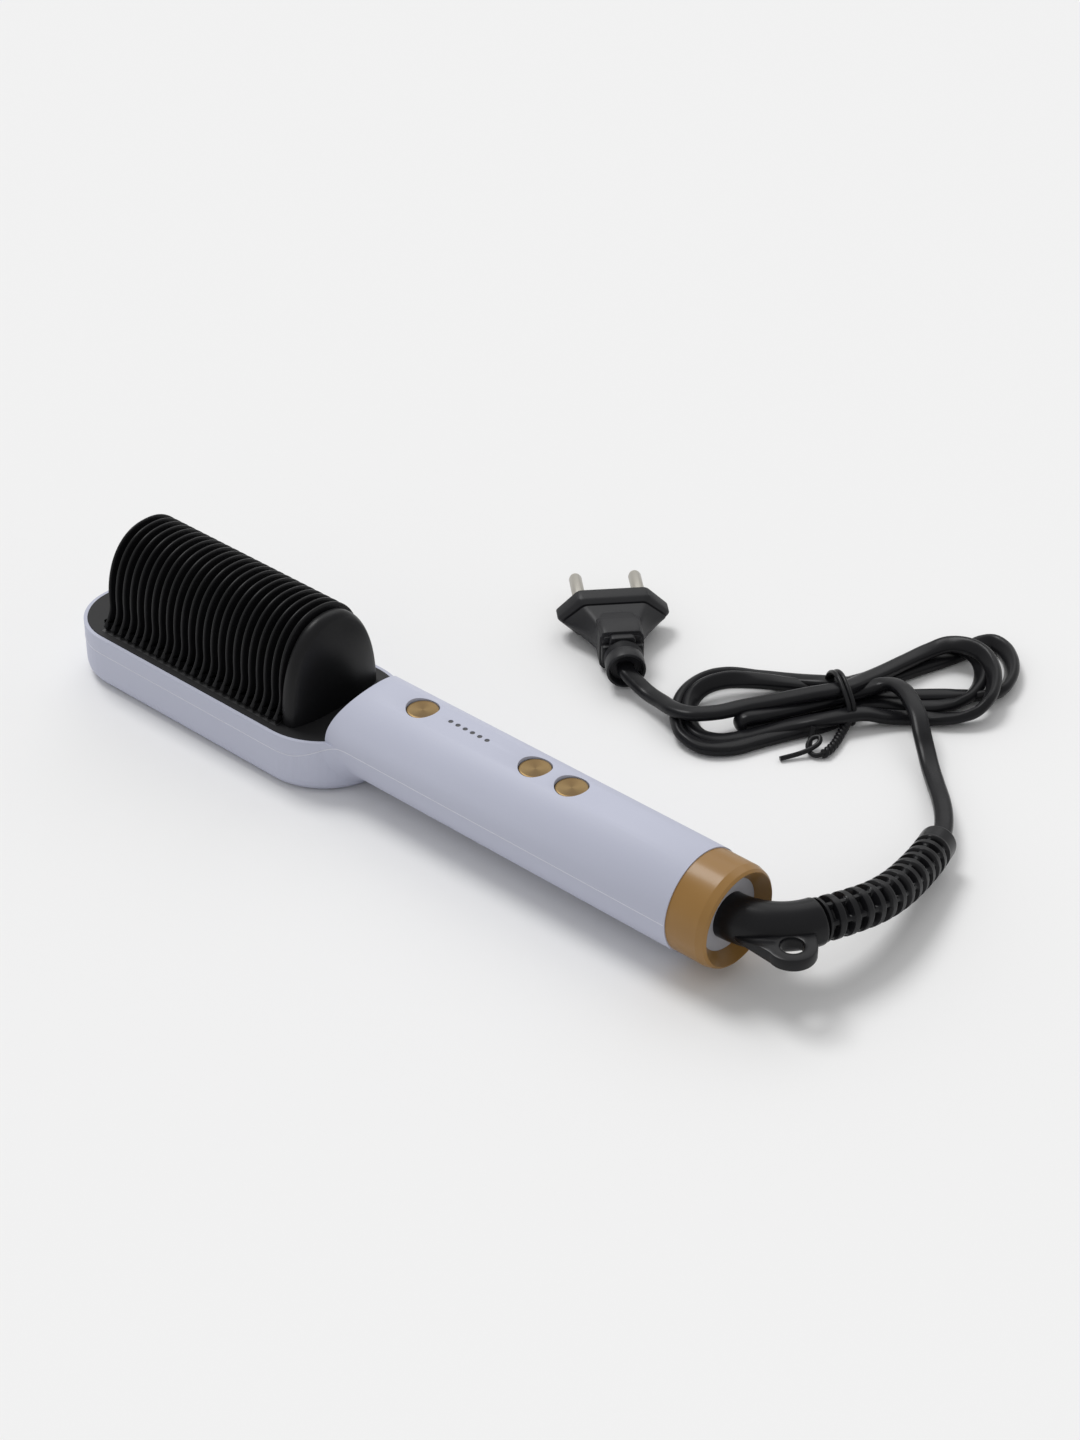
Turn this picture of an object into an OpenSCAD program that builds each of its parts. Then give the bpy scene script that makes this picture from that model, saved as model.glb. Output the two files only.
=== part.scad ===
// Electric hot comb: a finned heated head on a round handle, with three buttons,
// a tail ring, a swivelling elbow with a hanging eye, and a flat cord tied in a hank.
//
// Lengths along X are measured from the back of the tail ring, towards the head in -X.
// place() then moves every piece to the middle of the comb. Z is zero under the head.

/* [Head] */
// Length of the head
head_l = 113.4; // [106:0.2:118]
// Width of the head
head_w = 44.6; // [42:0.2:48]
// Corner radius at the tip of the head
tip_r = 17.8; // [12:0.2:20]
// Height of the head's rim and of the handle's axis
rim_z = 17.7; // [17:0.1:20]
// Wall of both shells
wall = 1.8; // [1.4:0.1:2.2]
// Rounding of the head's bottom edge
foot_r = 4.4; // [3:0.2:6]
// Height of the rim band that belongs to the upper shell
band_h = 5.5; // [4:0.1:7]
// Width of the pale lip around the dark deck
lip_w = 1.1; // [0.8:0.1:1.3]
// Radius of the neck between head and handle, seen from above
neck_r = 10; // [6:0.5:12]

/* [Comb fins] */
// Distance from the tip to the first fin
fin_start = 17; // [15:0.1:20]
// Distance from fin to fin
fin_pitch = 3.15; // [2.8:0.05:4]
// Thickness of a fin
fin_t = 1.35; // [1:0.05:1.6]
// Width of a fin above its foot
fin_w = 32.4; // [28:0.2:34]
// Distance from a fin's foot to the side of the head
foot_gap = 3.3; // [2.8:0.1:5]
// Height of the fins above the head's rim
fin_h = 30.6; // [24:0.2:34]
// Thickness of the end guard at its middle
guard_t = 6; // [4:0.1:7]
// Height of the end guard above the head's rim
guard_h = 29.4; // [24:0.2:34]

/* [Handle] */
// Length from the head to the back of the tail ring
handle_l = 116.8; // [106:0.2:130]
// Diameter of the handle
handle_d = 30.2; // [29:0.2:32]
// Length of the tail ring
ring_l = 12.7; // [10:0.1:15]
// Diameter of the tail ring
ring_d = 29.5; // [28:0.1:29.8]
// Diameter of the recessed disc in the tail ring
disc_d = 20.8; // [19:0.1:23]

/* [Buttons] */
// Distance of the power button from the head
power_in = 16.6; // [13:0.2:20]
// Distance of the minus button from the middle of the handle, towards the tail
minus_off = 0.1; // [-4:0.1:3]
// Distance from the minus button to the plus button
plus_gap = 13.1; // [12.5:0.1:15]
// Diameter of a button
button_d = 9.2; // [8:0.1:10]
// Travel of a button
button_travel = 0.6; // [0.3:0.05:0.8]
// Distance from the power button to the first indicator
light_gap = 10.7; // [9.5:0.1:13]
// Distance from indicator to indicator
light_pitch = 2.71; // [2.2:0.01:3]
// Diameter of an indicator
light_d = 1.5; // [1:0.1:1.8]

/* [Swivel] */
// Diameter of the swivel's stub and elbow
elbow_d = 13; // [12:0.1:14]
// Radius of the elbow's bend
bend_r = 20; // [18:0.5:24]
// Angle of the elbow's bend
bend_a = 70; // [60:1:75]
// Diameter of the hanging eye
eye_d = 6.4; // [5:0.1:7]
// Thickness of the tab that holds the hanging eye
tab_t = 3.6; // [2.5:0.1:4]
// Radial clearance of the swivel in its bush
swivel_gap = 0.05; // [0.02:0.01:0.1]

/* [Inside] */
// Thickness of the control board
board_t = 1.6; // [1:0.1:2]
// Width of the control board
board_w = 20; // [16:0.5:22]
// Height of the control board above the handle's axis
board_up = 2.3; // [1:0.1:3]
// Thickness of the heating element
element_t = 1.2; // [0.8:0.1:1.4]
// Diameter of a screw's shank
screw_d = 2.5; // [2:0.1:2.8]
// Gap between pieces that fit loosely
fit_gap = 0.1; // [0.05:0.01:0.15]

/* [Plug] */
// Width of the plug
plug_w = 35.3; // [34:0.1:37]
// Height of the plug
plug_h = 13.7; // [12.5:0.1:15]
// Diameter of a plug pin
pin_d = 4; // [3.9:0.05:4.1]
// Length of a plug pin
pin_l = 19; // [18:0.1:19.5]
// Distance between the plug pins
pin_gap = 18.6; // [17.5:0.1:19]

/* [Hidden] */
$fn = 96;

// Head and handle
comb_l = head_l + handle_l;
head_r = head_w / 2;
handle_r = handle_d / 2;
bore_r = handle_r - wall;
head_x = -comb_l + head_l - head_r;
tip_x = -comb_l + tip_r;
tip_y = head_r - tip_r;
part_z0 = rim_z - band_h;
part_x0 = head_x + 5.5;
part_x1 = head_x + head_r + 0.8;
part_steps = 10;
neck_layers = 9;
neck_sink = 0.06;
neck_steps = 8;
neck_z0 = rim_z - handle_r + 0.8;
foot_steps = 4;
reach_z = 60;

// Deck and fins
deck_t = 1.7;
deck_z = rim_z + 0.2;
deck_z0 = deck_z - deck_t;
deck_inset = lip_w + fit_gap;
fin_x0 = -comb_l + fin_start;
fin_foot_w = head_w - 2 * foot_gap;
fin_rise = 6.1;
fin_flare = 4;
fin_power = 2.25;
guard_x = head_x + 0.1;
fin_n = floor((guard_x - 1 - fin_x0) / fin_pitch) + 1;
fin_x1 = fin_x0 + (fin_n - 1) * fin_pitch;
guard_edge = 1.4;
bulkhead_t = 1.5;

// Heating unit, a stack that hangs under the deck
plate_w = fin_foot_w + 0.6;
plate_x0 = fin_x0 - fin_t / 2 - 0.6;
plate_x1 = fin_x1 + fin_t / 2 + 0.3;
flange_w = 0.8;
plate_z0 = deck_z0 - 1.8;
element_w = 14;
element_in = 5;
element_z0 = plate_z0 - element_t;
mica_t = 0.5;
mica_z0 = element_z0 - mica_t;
clamp_t = 1;
clamp_z0 = mica_z0 - clamp_t;
shield_t = 0.5;
shield_z = 9.5;
shield_w = 33;
rib_y = 14;
floor_rib_t = 1.2;

// Screws
boss_r = 3;
screw_r = screw_d / 2;
screw_head_r = 2.3;
screw_head_h = 1.6;
screw_hole_r = screw_r + fit_gap;
tip_screw_x = -comb_l + 9.2;
deck_screw_x = head_x + 13.1;
deck_boss_z0 = 8;
head_seat_z = 4;
head_screw_l = 10;
handle_seat_z = rim_z - 11.7;
handle_screw_l = 18;

// Buttons and indicators along the handle, then the control board and what stands on it
power_x = handle_l - power_in;
light_x = power_x - light_gap;
minus_x = handle_l / 2 - minus_off;
plus_x = minus_x - plus_gap;
board_x0 = -power_x - 5.8;
board_x1 = -plus_x + 5.2;
board_mid = (board_x0 + board_x1) / 2;
board_z0 = rim_z + board_up;
board_z = board_z0 + board_t;
neck_screw_x = board_x0 - 6;
board_boss_r = 2.5;
board_boss_x = 5;
board_boss_y = 6;
board_screw_r = 1;
switch_w = 6;
switch_h = 3.5;
plunger_h = 1.5;
plunger_r = 1.75;
led_h = 0.8;
led_l = 1.6;
light_n = 6;

// Buttons
button_r = button_d / 2;
button_hole_r = button_r + 0.2;
button_sink = 0.8;
cap_z = rim_z + handle_r - button_sink;
flange_r = button_r + 0.9;
button_flange_t = 1;
flange_z = rim_z + sqrt(bore_r * bore_r - flange_r * flange_r) - 0.4;
stem_r = 1.5;
stem_z = board_z + switch_h + plunger_h + button_travel + 0.1;
guide_w = 3;
guide_t = 1.6;
guide_end = 3.5;
guide_z = rim_z + sqrt(bore_r * bore_r - guide_w * guide_w / 4) - 0.5;
pip_r = light_d / 2 - 0.05;
pip_z = rim_z + handle_r - 0.15;
post_r = 0.9;

// Tail ring, bush and swivel
ring_r = ring_d / 2;
ring_taper_x = ring_l - 2.8;
ring_lip_r = ring_r - 0.6;
ring_lip = 0.6;
disc_r = disc_d / 2;
dish_x = ring_l - 3.5;
dish_r = ring_lip_r - 0.8;
disc_x0 = 3;
spigot_l = 6;
spigot_r = bore_r - fit_gap;
sleeve_r = 8.5;
bush_x0 = -4;
elbow_r = elbow_d / 2;
stub_x0 = -6.5;
tail_r = 5;
tail_x0 = -19;
groove_r = 5.5;
groove_x0 = -5.3;
groove_w = 1.2;
clip_t = 1;
clip_r = 7.9;
stub_x1 = 9;
elbow_x = stub_x1 + bend_r * sin(bend_a);
elbow_y = bend_r * (1 - cos(bend_a));
elbow_reach = elbow_x + elbow_r * sin(bend_a);
eye_a = 46;
eye_margin = 0.15;
eye_out = bend_r + elbow_r + eye_d / 2 + eye_margin;
eye_x = stub_x1 + eye_out * sin(eye_a);
eye_y = bend_r - eye_out * cos(eye_a);
tab_z = rim_z + tab_t / 2;
lobe_r = eye_d / 2 + 3.4;
tail_reach = max(elbow_reach, eye_x + lobe_r);
slip_r = 6;
slip_w = 2;
slip_x = [-11, -15.5];
holder_x1 = bush_x0 - 1.5;
holder_x0 = -20;
holder_bore_r = 7.2;
brush_w = 1.6;
brush_l = 3;
brush_gap = 0.05;
brush_out = 10;
lead_r = 0.6;
tail_screw_x = holder_x0 - 8;

// Middle of the comb, between the head's tip and the far side of the elbow and its tab
place_x = (comb_l - tail_reach) / 2;

// Cord: half width and half thickness of the flat twin lead, and its two free stretches
cord_a = 2.7;
cord_b = 1.7;
relief_path = [[elbow_x, elbow_y, rim_z], [30.6, 23.2, 16.4], [31.7, 33.6, 14.3], [31, 43.8, 12.3],
    [29.1, 53.9, 10.5], [26.6, 63.9, 8.9], [23.6, 73.6, 7.6]];
relief_n = 14;
relief_rib_r = 6.2;
relief_dip_r = 5.2;
relief_end_r = 6;
run_path = [[23.6, 73.6, 7.6], [20.6, 80, 6.6], [16.2, 86.4, 6], [11, 92.4, 5.4], [5, 98.5, 4.4],
    [-1.2, 104.5, 4.2], [-7.4, 110.3, 5.4], [-14, 116.4, 6.2], [-21, 121.8, 6.5], [-28, 126.5, 6.5]];
plug_path = [[-74.9, 77.8, 4], [-80, 78, 4], [-85.5, 79.2, 4.6], [-90.5, 80, 5.6], [-95.4, 81.3, 6.85]];
hank_h = 9;
hank_a = [-62, 91];
hank_a_r = 21;
hank_b = [-26, 156.5];
hank_b_r = 19.8;
hank_waist = 22;
tie_at = [-43, 116];
tie_turn = 57.5;
tie_t = 1.5;
tie_w = 3;
tie_tail = [[-33.3, 109.8, 2], [-31.8, 102.4, 1.5], [-30.4, 97.2, 1.5], [-31.5, 92.8, 1.5],
    [-34.8, 91.3, 1.5], [-38.6, 83.1, 1.5]];

// Plug: its own X points along the pins, its own Y across them
plug_at = [-122.2, 105.4, plug_h / 2];
plug_turn = 138;
plug_top_w = 21;
plug_rim = 6.9;
plug_groove = 0.9;
neck_w = 12.6;
neck_h = 12.4;
neck_l = 27;
shoulder_l = 13;
grommet_r = 6;
grommet_l = 9;
pin_sink = 8;
pin_root_r = pin_d / 2 - 0.4;

function unit(v) = v / norm(v);
function tangent(path, i) = unit(path[min(i + 1, len(path) - 1)] - path[max(i - 1, 0)]);
function side_of(t) = unit(cross(t, [0, 0, 1]));
function lerp(a, b, t) = a + (b - a) * t;
function on_circle(centre, r, a) = centre + r * [cos(a), sin(a)];

// One ring of points across a path, flattened to half width a and half height b
function ring_at(p, t, a, b, sides) =
    let (s = side_of(t), n = cross(s, t))
    [for (k = [0:sides - 1]) p + s * a * cos(360 * k / sides) + n * b * sin(360 * k / sides)];

// A point and its direction at a share of a path's length, counted in stretches
function point_on(path, u) =
    let (q = u * (len(path) - 1), i = min(floor(q), len(path) - 2))
    lerp(path[i], path[i + 1], q - i);
function heading_on(path, u) =
    let (q = u * (len(path) - 1), i = min(floor(q), len(path) - 2))
    unit(lerp(tangent(path, i), tangent(path, i + 1), q - i));

// Outline of a fin in Y and Z: a flared foot under a rounded blade
function blade_y(a) = fin_w / 2 * sign(cos(a)) * pow(abs(cos(a)), 2 / fin_power);
function blade_z(a, top) = fin_rise + (top - fin_rise) * pow(sin(a), 2 / fin_power);
function flare_y(t) = lerp(fin_w / 2, fin_foot_w / 2, (1 - cos(180 * t)) / 2);
function blade_outline(top) = concat(
    [[-fin_foot_w / 2, deck_z - rim_z], [fin_foot_w / 2, deck_z - rim_z]],
    [for (t = [1:-0.25:0]) [flare_y(t), fin_rise - fin_flare * t]],
    [for (a = [7.5:7.5:172.5]) [blade_y(a), blade_z(a, top)]],
    [for (t = [0:0.25:1]) [-flare_y(t), fin_rise - fin_flare * t]]);

// Head outline at one height, as points: the round end, then the two tip corners
function arc_points(x, y, r, a0, a1, n, z) =
    [for (k = [0:n]) let (a = lerp(a0, a1, k / n)) [x + r * cos(a), y + r * sin(a), z]];
function head_ring(inset, z) = concat(
    arc_points(head_x, 0, head_r - inset, -90, 90, 28, z),
    arc_points(tip_x, tip_y, tip_r - inset, 90, 180, 12, z),
    arc_points(tip_x, -tip_y, tip_r - inset, 180, 270, 12, z));

// Neck: the fillet between the head's round end and the handle, at one height
function end_r(z) = z < foot_r
    ? head_r - foot_r + sqrt(foot_r * foot_r - pow(foot_r - z, 2))
    : head_r;
function side_y(z) = sqrt(max(handle_r * handle_r - pow(rim_z - z, 2), 0)) - neck_sink;
function neck_arc(z) =
    let (cy = side_y(z) + neck_r, cx = sqrt(pow(end_r(z) - neck_sink + neck_r, 2) - cy * cy), a0 = atan2(cy, cx))
    [for (k = [0:neck_steps])
        let (a = lerp(a0 + 180, 270, k / neck_steps))
        [head_x + cx + neck_r * cos(a), cy + neck_r * sin(a)]];
function neck_ring(z) =
    let (arc = neck_arc(z), x = head_x + head_r / 2, y = arc[0][1] * 0.7)
    concat([[x, -y, z]], [for (p = arc) [p[0], -p[1], z]],
        [for (k = [neck_steps:-1:0]) [arc[k][0], arc[k][1], z]], [[x, y, z]]);

module place() {
    translate([place_x, 0, 0])
        children();
}

// A closed skin over rings that all have the same number of points, which run clockwise
// when seen along the way from the first ring to the last
module skin(rings) {
    m = len(rings[0]);
    last = len(rings) - 1;
    sides = [for (j = [0:last - 1]) for (k = [0:m - 1])
        let (n = (k + 1) % m)
        [[j * m + k, j * m + n, (j + 1) * m + n], [j * m + k, (j + 1) * m + n, (j + 1) * m + k]]];
    polyhedron(
        points = [for (r = rings) for (p = r) p],
        faces = concat([[for (k = [m - 1:-1:0]) k]], [[for (k = [0:m - 1]) last * m + k]],
            [for (pair = sides) for (f = pair) f]),
        convexity = 6);
}

module tube(path, a, b, sides = 8) {
    skin([for (i = [0:len(path) - 1]) ring_at(path[i], tangent(path, i), a, b, sides)]);
}

module axis_cylinder(r, x0, x1) {
    translate([x0, 0, rim_z])
        rotate([0, 90, 0])
            cylinder(r = r, h = x1 - x0);
}

// Head outline seen from above
module head_outline(inset) {
    translate([head_x, 0])
        circle(r = head_r - inset);
    for (side = [-1, 1])
        translate([tip_x, side * tip_y])
            circle(r = tip_r - inset);
    translate([tip_x, -head_r + inset])
        square([head_x - tip_x, 2 * (head_r - inset)]);
    translate([tip_x - tip_r + inset, -tip_y])
        square([tip_r, 2 * tip_y]);
}

module head_prism(inset, z0, z1) {
    translate([0, 0, z0])
        linear_extrude(height = z1 - z0)
            head_outline(inset);
}

// Head-shaped tray with a rounded bottom, set in from the outside by inset
module head_tray(inset, z0, z1) {
    round_r = max(foot_r - inset, 0.5);
    skin(concat(
        [head_ring(inset, z1)],
        [for (k = [foot_steps:-1:0])
            let (a = 90 * k / foot_steps)
            head_ring(inset + round_r * (1 - sin(a)), z0 + round_r * (1 - cos(a)))]));
}

module neck() {
    keel_z = neck_z0 - 0.2;
    keel_y = side_y(keel_z) - 0.8;
    skin(concat(
        [for (j = [0:neck_layers]) neck_ring(lerp(rim_z, neck_z0, j / neck_layers))],
        [[for (p = neck_ring(neck_z0)) [p[0], max(min(p[1], keel_y), -keel_y), keel_z]]]));
}

module handle_body() {
    axis_cylinder(handle_r, head_x, 0);
    neck();
}

module handle_bore() {
    axis_cylinder(bore_r, head_x, 1);
}

// Everything above the parting line, which climbs from the band to the handle's side
module above_parting() {
    profile = concat([[-comb_l - 9, part_z0]],
        [for (k = [0:part_steps])
            let (t = k / part_steps)
            [lerp(part_x0, part_x1, t), lerp(part_z0, rim_z, (1 - cos(180 * t)) / 2)]],
        [[9, rim_z], [9, reach_z], [-comb_l - 9, reach_z]]);
    translate([0, head_w, 0])
        rotate([90, 0, 0])
            linear_extrude(height = 2 * head_w)
                polygon(profile);
}

module shell_screw_hole(x, seat_z, top_z) {
    translate([x, 0, -1])
        cylinder(r = screw_head_r + fit_gap, h = seat_z + 1);
    translate([x, 0, 0])
        cylinder(r = screw_hole_r, h = top_z);
}

// Posts for the control board
module board_posts(r, z0, z1) {
    for (x = [board_x0 + board_boss_x, board_x1 - board_boss_x], side = [-1, 1])
        translate([x, side * board_boss_y, z0])
            cylinder(r = r, h = z1 - z0);
}

module upper_shell() place() color([0.78, 0.78, 0.85]) difference() {
    union() {
        difference() {
            intersection() {
                union() {
                    head_prism(0, part_z0 - 1, rim_z);
                    handle_body();
                }
                above_parting();
            }
            head_prism(wall, part_z0 - 2, deck_z0 + 0.1);
            handle_bore();
        }
        intersection() {
            for (x = [neck_screw_x, tail_screw_x])
                translate([x, 0, rim_z])
                    cylinder(r = boss_r, h = handle_r);
            axis_cylinder(handle_r - wall / 2, neck_screw_x - boss_r - 1, tail_screw_x + boss_r + 1);
        }
    }
    head_prism(lip_w, deck_z0, reach_z);
    for (x = [neck_screw_x, tail_screw_x])
        translate([x, 0, rim_z - 1])
            cylinder(r = screw_hole_r, h = handle_seat_z + handle_screw_l - rim_z + 2);
    for (x = [power_x, minus_x, plus_x])
        translate([-x, 0, rim_z])
            cylinder(r = button_hole_r, h = handle_r + 1);
    for (i = [0:light_n - 1])
        translate([-light_x + i * light_pitch, 0, rim_z])
            cylinder(r = light_d / 2, h = handle_r + 1);
}

module lower_shell() place() color([0.76, 0.76, 0.82]) difference() {
    union() {
        difference() {
            union() {
                head_tray(0, 0, rim_z);
                handle_body();
            }
            above_parting();
            head_tray(wall, wall, rim_z + 1);
            handle_bore();
        }
        for (x = [tip_screw_x, deck_screw_x])
            translate([x, 0, wall / 2])
                cylinder(r = boss_r, h = deck_boss_z0 - wall / 2);
        for (side = [-1, 1])
            translate([plate_x0 + 4, side * rib_y - floor_rib_t / 2, wall / 2])
                cube([plate_x1 - plate_x0 - 8, floor_rib_t, shield_z - shield_t - wall / 2]);
        intersection() {
            union() {
                for (x = [neck_screw_x, tail_screw_x])
                    translate([x, 0, 0])
                        cylinder(r = boss_r, h = rim_z);
                board_posts(board_boss_r, 0, board_z0);
            }
            axis_cylinder(handle_r - wall / 2, neck_screw_x - boss_r - 1, tail_screw_x + boss_r + 1);
        }
    }
    for (x = [tip_screw_x, deck_screw_x])
        shell_screw_hole(x, head_seat_z, rim_z);
    for (x = [neck_screw_x, tail_screw_x])
        shell_screw_hole(x, handle_seat_z, rim_z + 1);
    board_posts(board_screw_r + fit_gap, board_z0 - 6, board_z0 + 1);
}

// Dark deck inside the lip, with the window for the heating plate and the handle's bulkhead
module comb_base() place() color([0.13, 0.13, 0.14]) difference() {
    union() {
        head_prism(deck_inset, deck_z0, deck_z);
        intersection() {
            translate([0, 0, deck_z0])
                linear_extrude(height = reach_z)
                    difference() {
                        head_outline(deck_inset);
                        head_outline(deck_inset + bulkhead_t);
                        translate([-comb_l, -head_r])
                            square([comb_l + head_x, head_w]);
                    }
            axis_cylinder(bore_r - fit_gap, head_x, 0);
        }
        for (x = [tip_screw_x, deck_screw_x])
            translate([x, 0, deck_boss_z0])
                cylinder(r = boss_r, h = deck_z0 - deck_boss_z0 + 0.5);
    }
    translate([plate_x0 - fit_gap, -plate_w / 2 - fit_gap, deck_z0 - 1])
        cube([plate_x1 - plate_x0 + 2 * fit_gap, plate_w + 2 * fit_gap, deck_t + 2]);
    for (x = [tip_screw_x, deck_screw_x])
        translate([x, 0, deck_boss_z0 - 1])
            cylinder(r = screw_hole_r, h = head_seat_z + head_screw_l - deck_boss_z0 + 1.5);
}

module blade(x, t, top) {
    translate([x, 0, rim_z])
        rotate([90, 0, 90])
            linear_extrude(height = t)
                polygon(blade_outline(top));
}

module comb_fins() place() color([0.09, 0.09, 0.1])
    for (i = [0:fin_n - 1])
        blade(fin_x0 + i * fin_pitch - fin_t / 2, fin_t, fin_h);

// Thick last plate, flat towards the fins and crowned towards the handle
module end_guard() place() color([0.1, 0.1, 0.11]) {
    half = fin_foot_w / 2;
    sag = guard_t - guard_edge;
    crown_r = (half * half + sag * sag) / (2 * sag);
    intersection() {
        blade(guard_x, guard_t, guard_h);
        translate([guard_x + guard_t - crown_r, 0, 0])
            cylinder(r = crown_r, h = reach_z, $fn = 180);
    }
}

module heating_plate() place() color([0.2, 0.2, 0.21]) {
    translate([plate_x0, -plate_w / 2, plate_z0])
        cube([plate_x1 - plate_x0, plate_w, deck_z - plate_z0]);
    translate([plate_x0 - flange_w, -plate_w / 2 - flange_w, plate_z0])
        cube([plate_x1 - plate_x0 + 2 * flange_w, plate_w + 2 * flange_w, deck_z0 - plate_z0]);
}

// A strip that lies along the middle of the heating plate
module strip(side_in, w, z0, z1) {
    translate([plate_x0 + side_in, -w / 2, z0])
        cube([plate_x1 - plate_x0 - 2 * side_in, w, z1 - z0]);
}

module heating_element() place() color([0.86, 0.84, 0.78])
    strip(element_in, element_w, element_z0, plate_z0);

module insulation_sheet() place() color([0.75, 0.68, 0.5])
    strip(element_in - 1.5, element_w + 3, mica_z0, element_z0);

module element_clamp() place() color([0.6, 0.61, 0.62]) {
    strip(element_in - 1, element_w + 2, clamp_z0, mica_z0);
    for (x = [plate_x0 + 10, plate_x1 - 10], side = [-1, 1])
        translate([x, side * element_w / 3, shield_z])
            cylinder(r = 1.5, h = clamp_z0 - shield_z);
}

module heat_shield() place() color([0.7, 0.71, 0.72])
    strip(2, shield_w, shield_z - shield_t, shield_z);

module thermistor() place() color([0.2, 0.25, 0.35]) {
    translate([plate_x1 - 16, element_w / 2 + 3, plate_z0 - 1])
        cube([5, 2.4, 1]);
    translate([plate_x1 - 11, element_w / 2 + 4.2, plate_z0 - 0.5])
        rotate([0, 90, 0])
            cylinder(r = 0.35, h = 5);
}

module thermal_fuse() place() color([0.7, 0.7, 0.66])
    translate([plate_x1 - 30, -element_w / 2 - 5.2, plate_z0 - 2]) {
        rotate([0, 90, 0])
            cylinder(r = 2, h = 9);
        translate([-4, 0, 0])
            rotate([0, 90, 0])
                cylinder(r = 0.5, h = 18);
    }

module heater_leads() place() color([0.75, 0.1, 0.08])
    for (side = [-1, 1])
        tube([[plate_x1 - element_in, side * 4.5, plate_z0 - lead_r], [head_x + 8, side * 4.5, plate_z0 - lead_r],
            [head_x + 19, side * 4.5, plate_z0 - lead_r], [head_x + 25, side * 4.5, plate_z0 + 2.5],
            [board_x0 - 3, side * 4.5, board_z0 + lead_r], [board_x0, side * 4.5, board_z0 + lead_r]],
            lead_r, lead_r);

module control_board() place() color([0.1, 0.4, 0.2]) difference() {
    translate([board_x0, -board_w / 2, board_z0])
        cube([board_x1 - board_x0, board_w, board_t]);
    board_posts(board_screw_r + fit_gap, board_z0 - 1, board_z + 1);
}

module board_screws() place() color([0.65, 0.66, 0.68]) {
    board_posts(board_screw_r, board_z0 - 4.5, board_z);
    board_posts(board_screw_r + 0.9, board_z, board_z + 1.3);
}

module triac() place() color([0.1, 0.1, 0.1])
    translate([board_mid - 18, -3, board_z0 - 6])
        cube([8, 4.5, 6]);

module capacitor() place() color([0.75, 0.55, 0.15])
    translate([board_mid + 4, -3.5, board_z0 - 10])
        cube([13, 7, 10]);

module tact_switches() place() color([0.18, 0.18, 0.19])
    for (x = [power_x, minus_x, plus_x])
        translate([-x, 0, board_z]) {
            translate([-switch_w / 2, -switch_w / 2, 0])
                cube([switch_w, switch_w, switch_h]);
            cylinder(r = plunger_r, h = switch_h + plunger_h);
        }

module indicator_leds() place() color([0.9, 0.85, 0.7])
    for (i = [0:light_n - 1])
        translate([-light_x + i * light_pitch - led_l / 2, -led_l / 4, board_z])
            cube([led_l, led_l / 2, led_h]);

// Clear bar under the shell with one pip for each indicator and two posts on the board
module light_guide() place() color([0.85, 0.87, 0.9]) {
    lights_l = (light_n - 1) * light_pitch;
    translate([-light_x - guide_end, -guide_w / 2, guide_z - guide_t])
        cube([lights_l + 2 * guide_end, guide_w, guide_t]);
    for (i = [0:light_n - 1])
        translate([-light_x + i * light_pitch, 0, guide_z - 0.2])
            cylinder(r = pip_r, h = pip_z - guide_z + 0.2);
    for (x = [-light_x - guide_end + 1.1, -light_x + lights_l + guide_end - 1.1])
        translate([x, 0, board_z])
            cylinder(r = post_r, h = guide_z - guide_t - board_z + 0.2);
}

module button(x) {
    translate([-x, 0, flange_z])
        cylinder(r = button_r, h = cap_z - flange_z);
    translate([-x, 0, flange_z - button_flange_t])
        cylinder(r = flange_r, h = button_flange_t);
    translate([-x, 0, stem_z])
        cylinder(r = stem_r, h = flange_z - button_flange_t - stem_z);
}

module power_button() place() color([0.55, 0.43, 0.27])
    button(power_x);

module minus_button() place() color([0.55, 0.43, 0.27])
    button(minus_x);

module plus_button() place() color([0.55, 0.43, 0.27])
    button(plus_x);

module turned_sleeve(x0, x1, r_in, r_out) {
    difference() {
        axis_cylinder(r_out, x0, x1);
        axis_cylinder(r_in, x0 - 1, x1 + 1);
    }
}

module tail_ring() place() color([0.6, 0.45, 0.26]) difference() {
    union() {
        translate([0, 0, rim_z])
            rotate([0, 90, 0])
                rotate_extrude()
                    polygon([[0, 0], [ring_r, 0], [ring_r, ring_taper_x], [ring_lip_r, ring_l - ring_lip],
                        [ring_lip_r - ring_lip, ring_l], [0, ring_l]]);
        axis_cylinder(spigot_r, -spigot_l, 0);
    }
    translate([dish_x, 0, rim_z])
        rotate([0, 90, 0])
            cylinder(r1 = disc_r, r2 = dish_r, h = ring_l - dish_x + 0.01);
    axis_cylinder(disc_r, disc_x0, ring_l);
    axis_cylinder(sleeve_r, -spigot_l - 1, disc_x0 + 1);
}

module end_bush() place() color([0.66, 0.66, 0.68]) difference() {
    union() {
        axis_cylinder(disc_r - 0.02, disc_x0, dish_x);
        axis_cylinder(sleeve_r - 0.02, bush_x0, disc_x0);
    }
    axis_cylinder(elbow_r + swivel_gap, bush_x0 - 1, dish_x + 1);
}

module bend() {
    translate([stub_x1, bend_r, rim_z])
        rotate([0, 0, -90])
            rotate_extrude(angle = bend_a)
                translate([bend_r, 0])
                    circle(r = elbow_r);
}

// Point on the elbow's middle line, and on the tab's rounded end
function bend_point(a) = [stub_x1 + bend_r * sin(a), bend_r * (1 - cos(a))];
function lobe_point(a) = on_circle([eye_x, eye_y], lobe_r, a);

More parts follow.
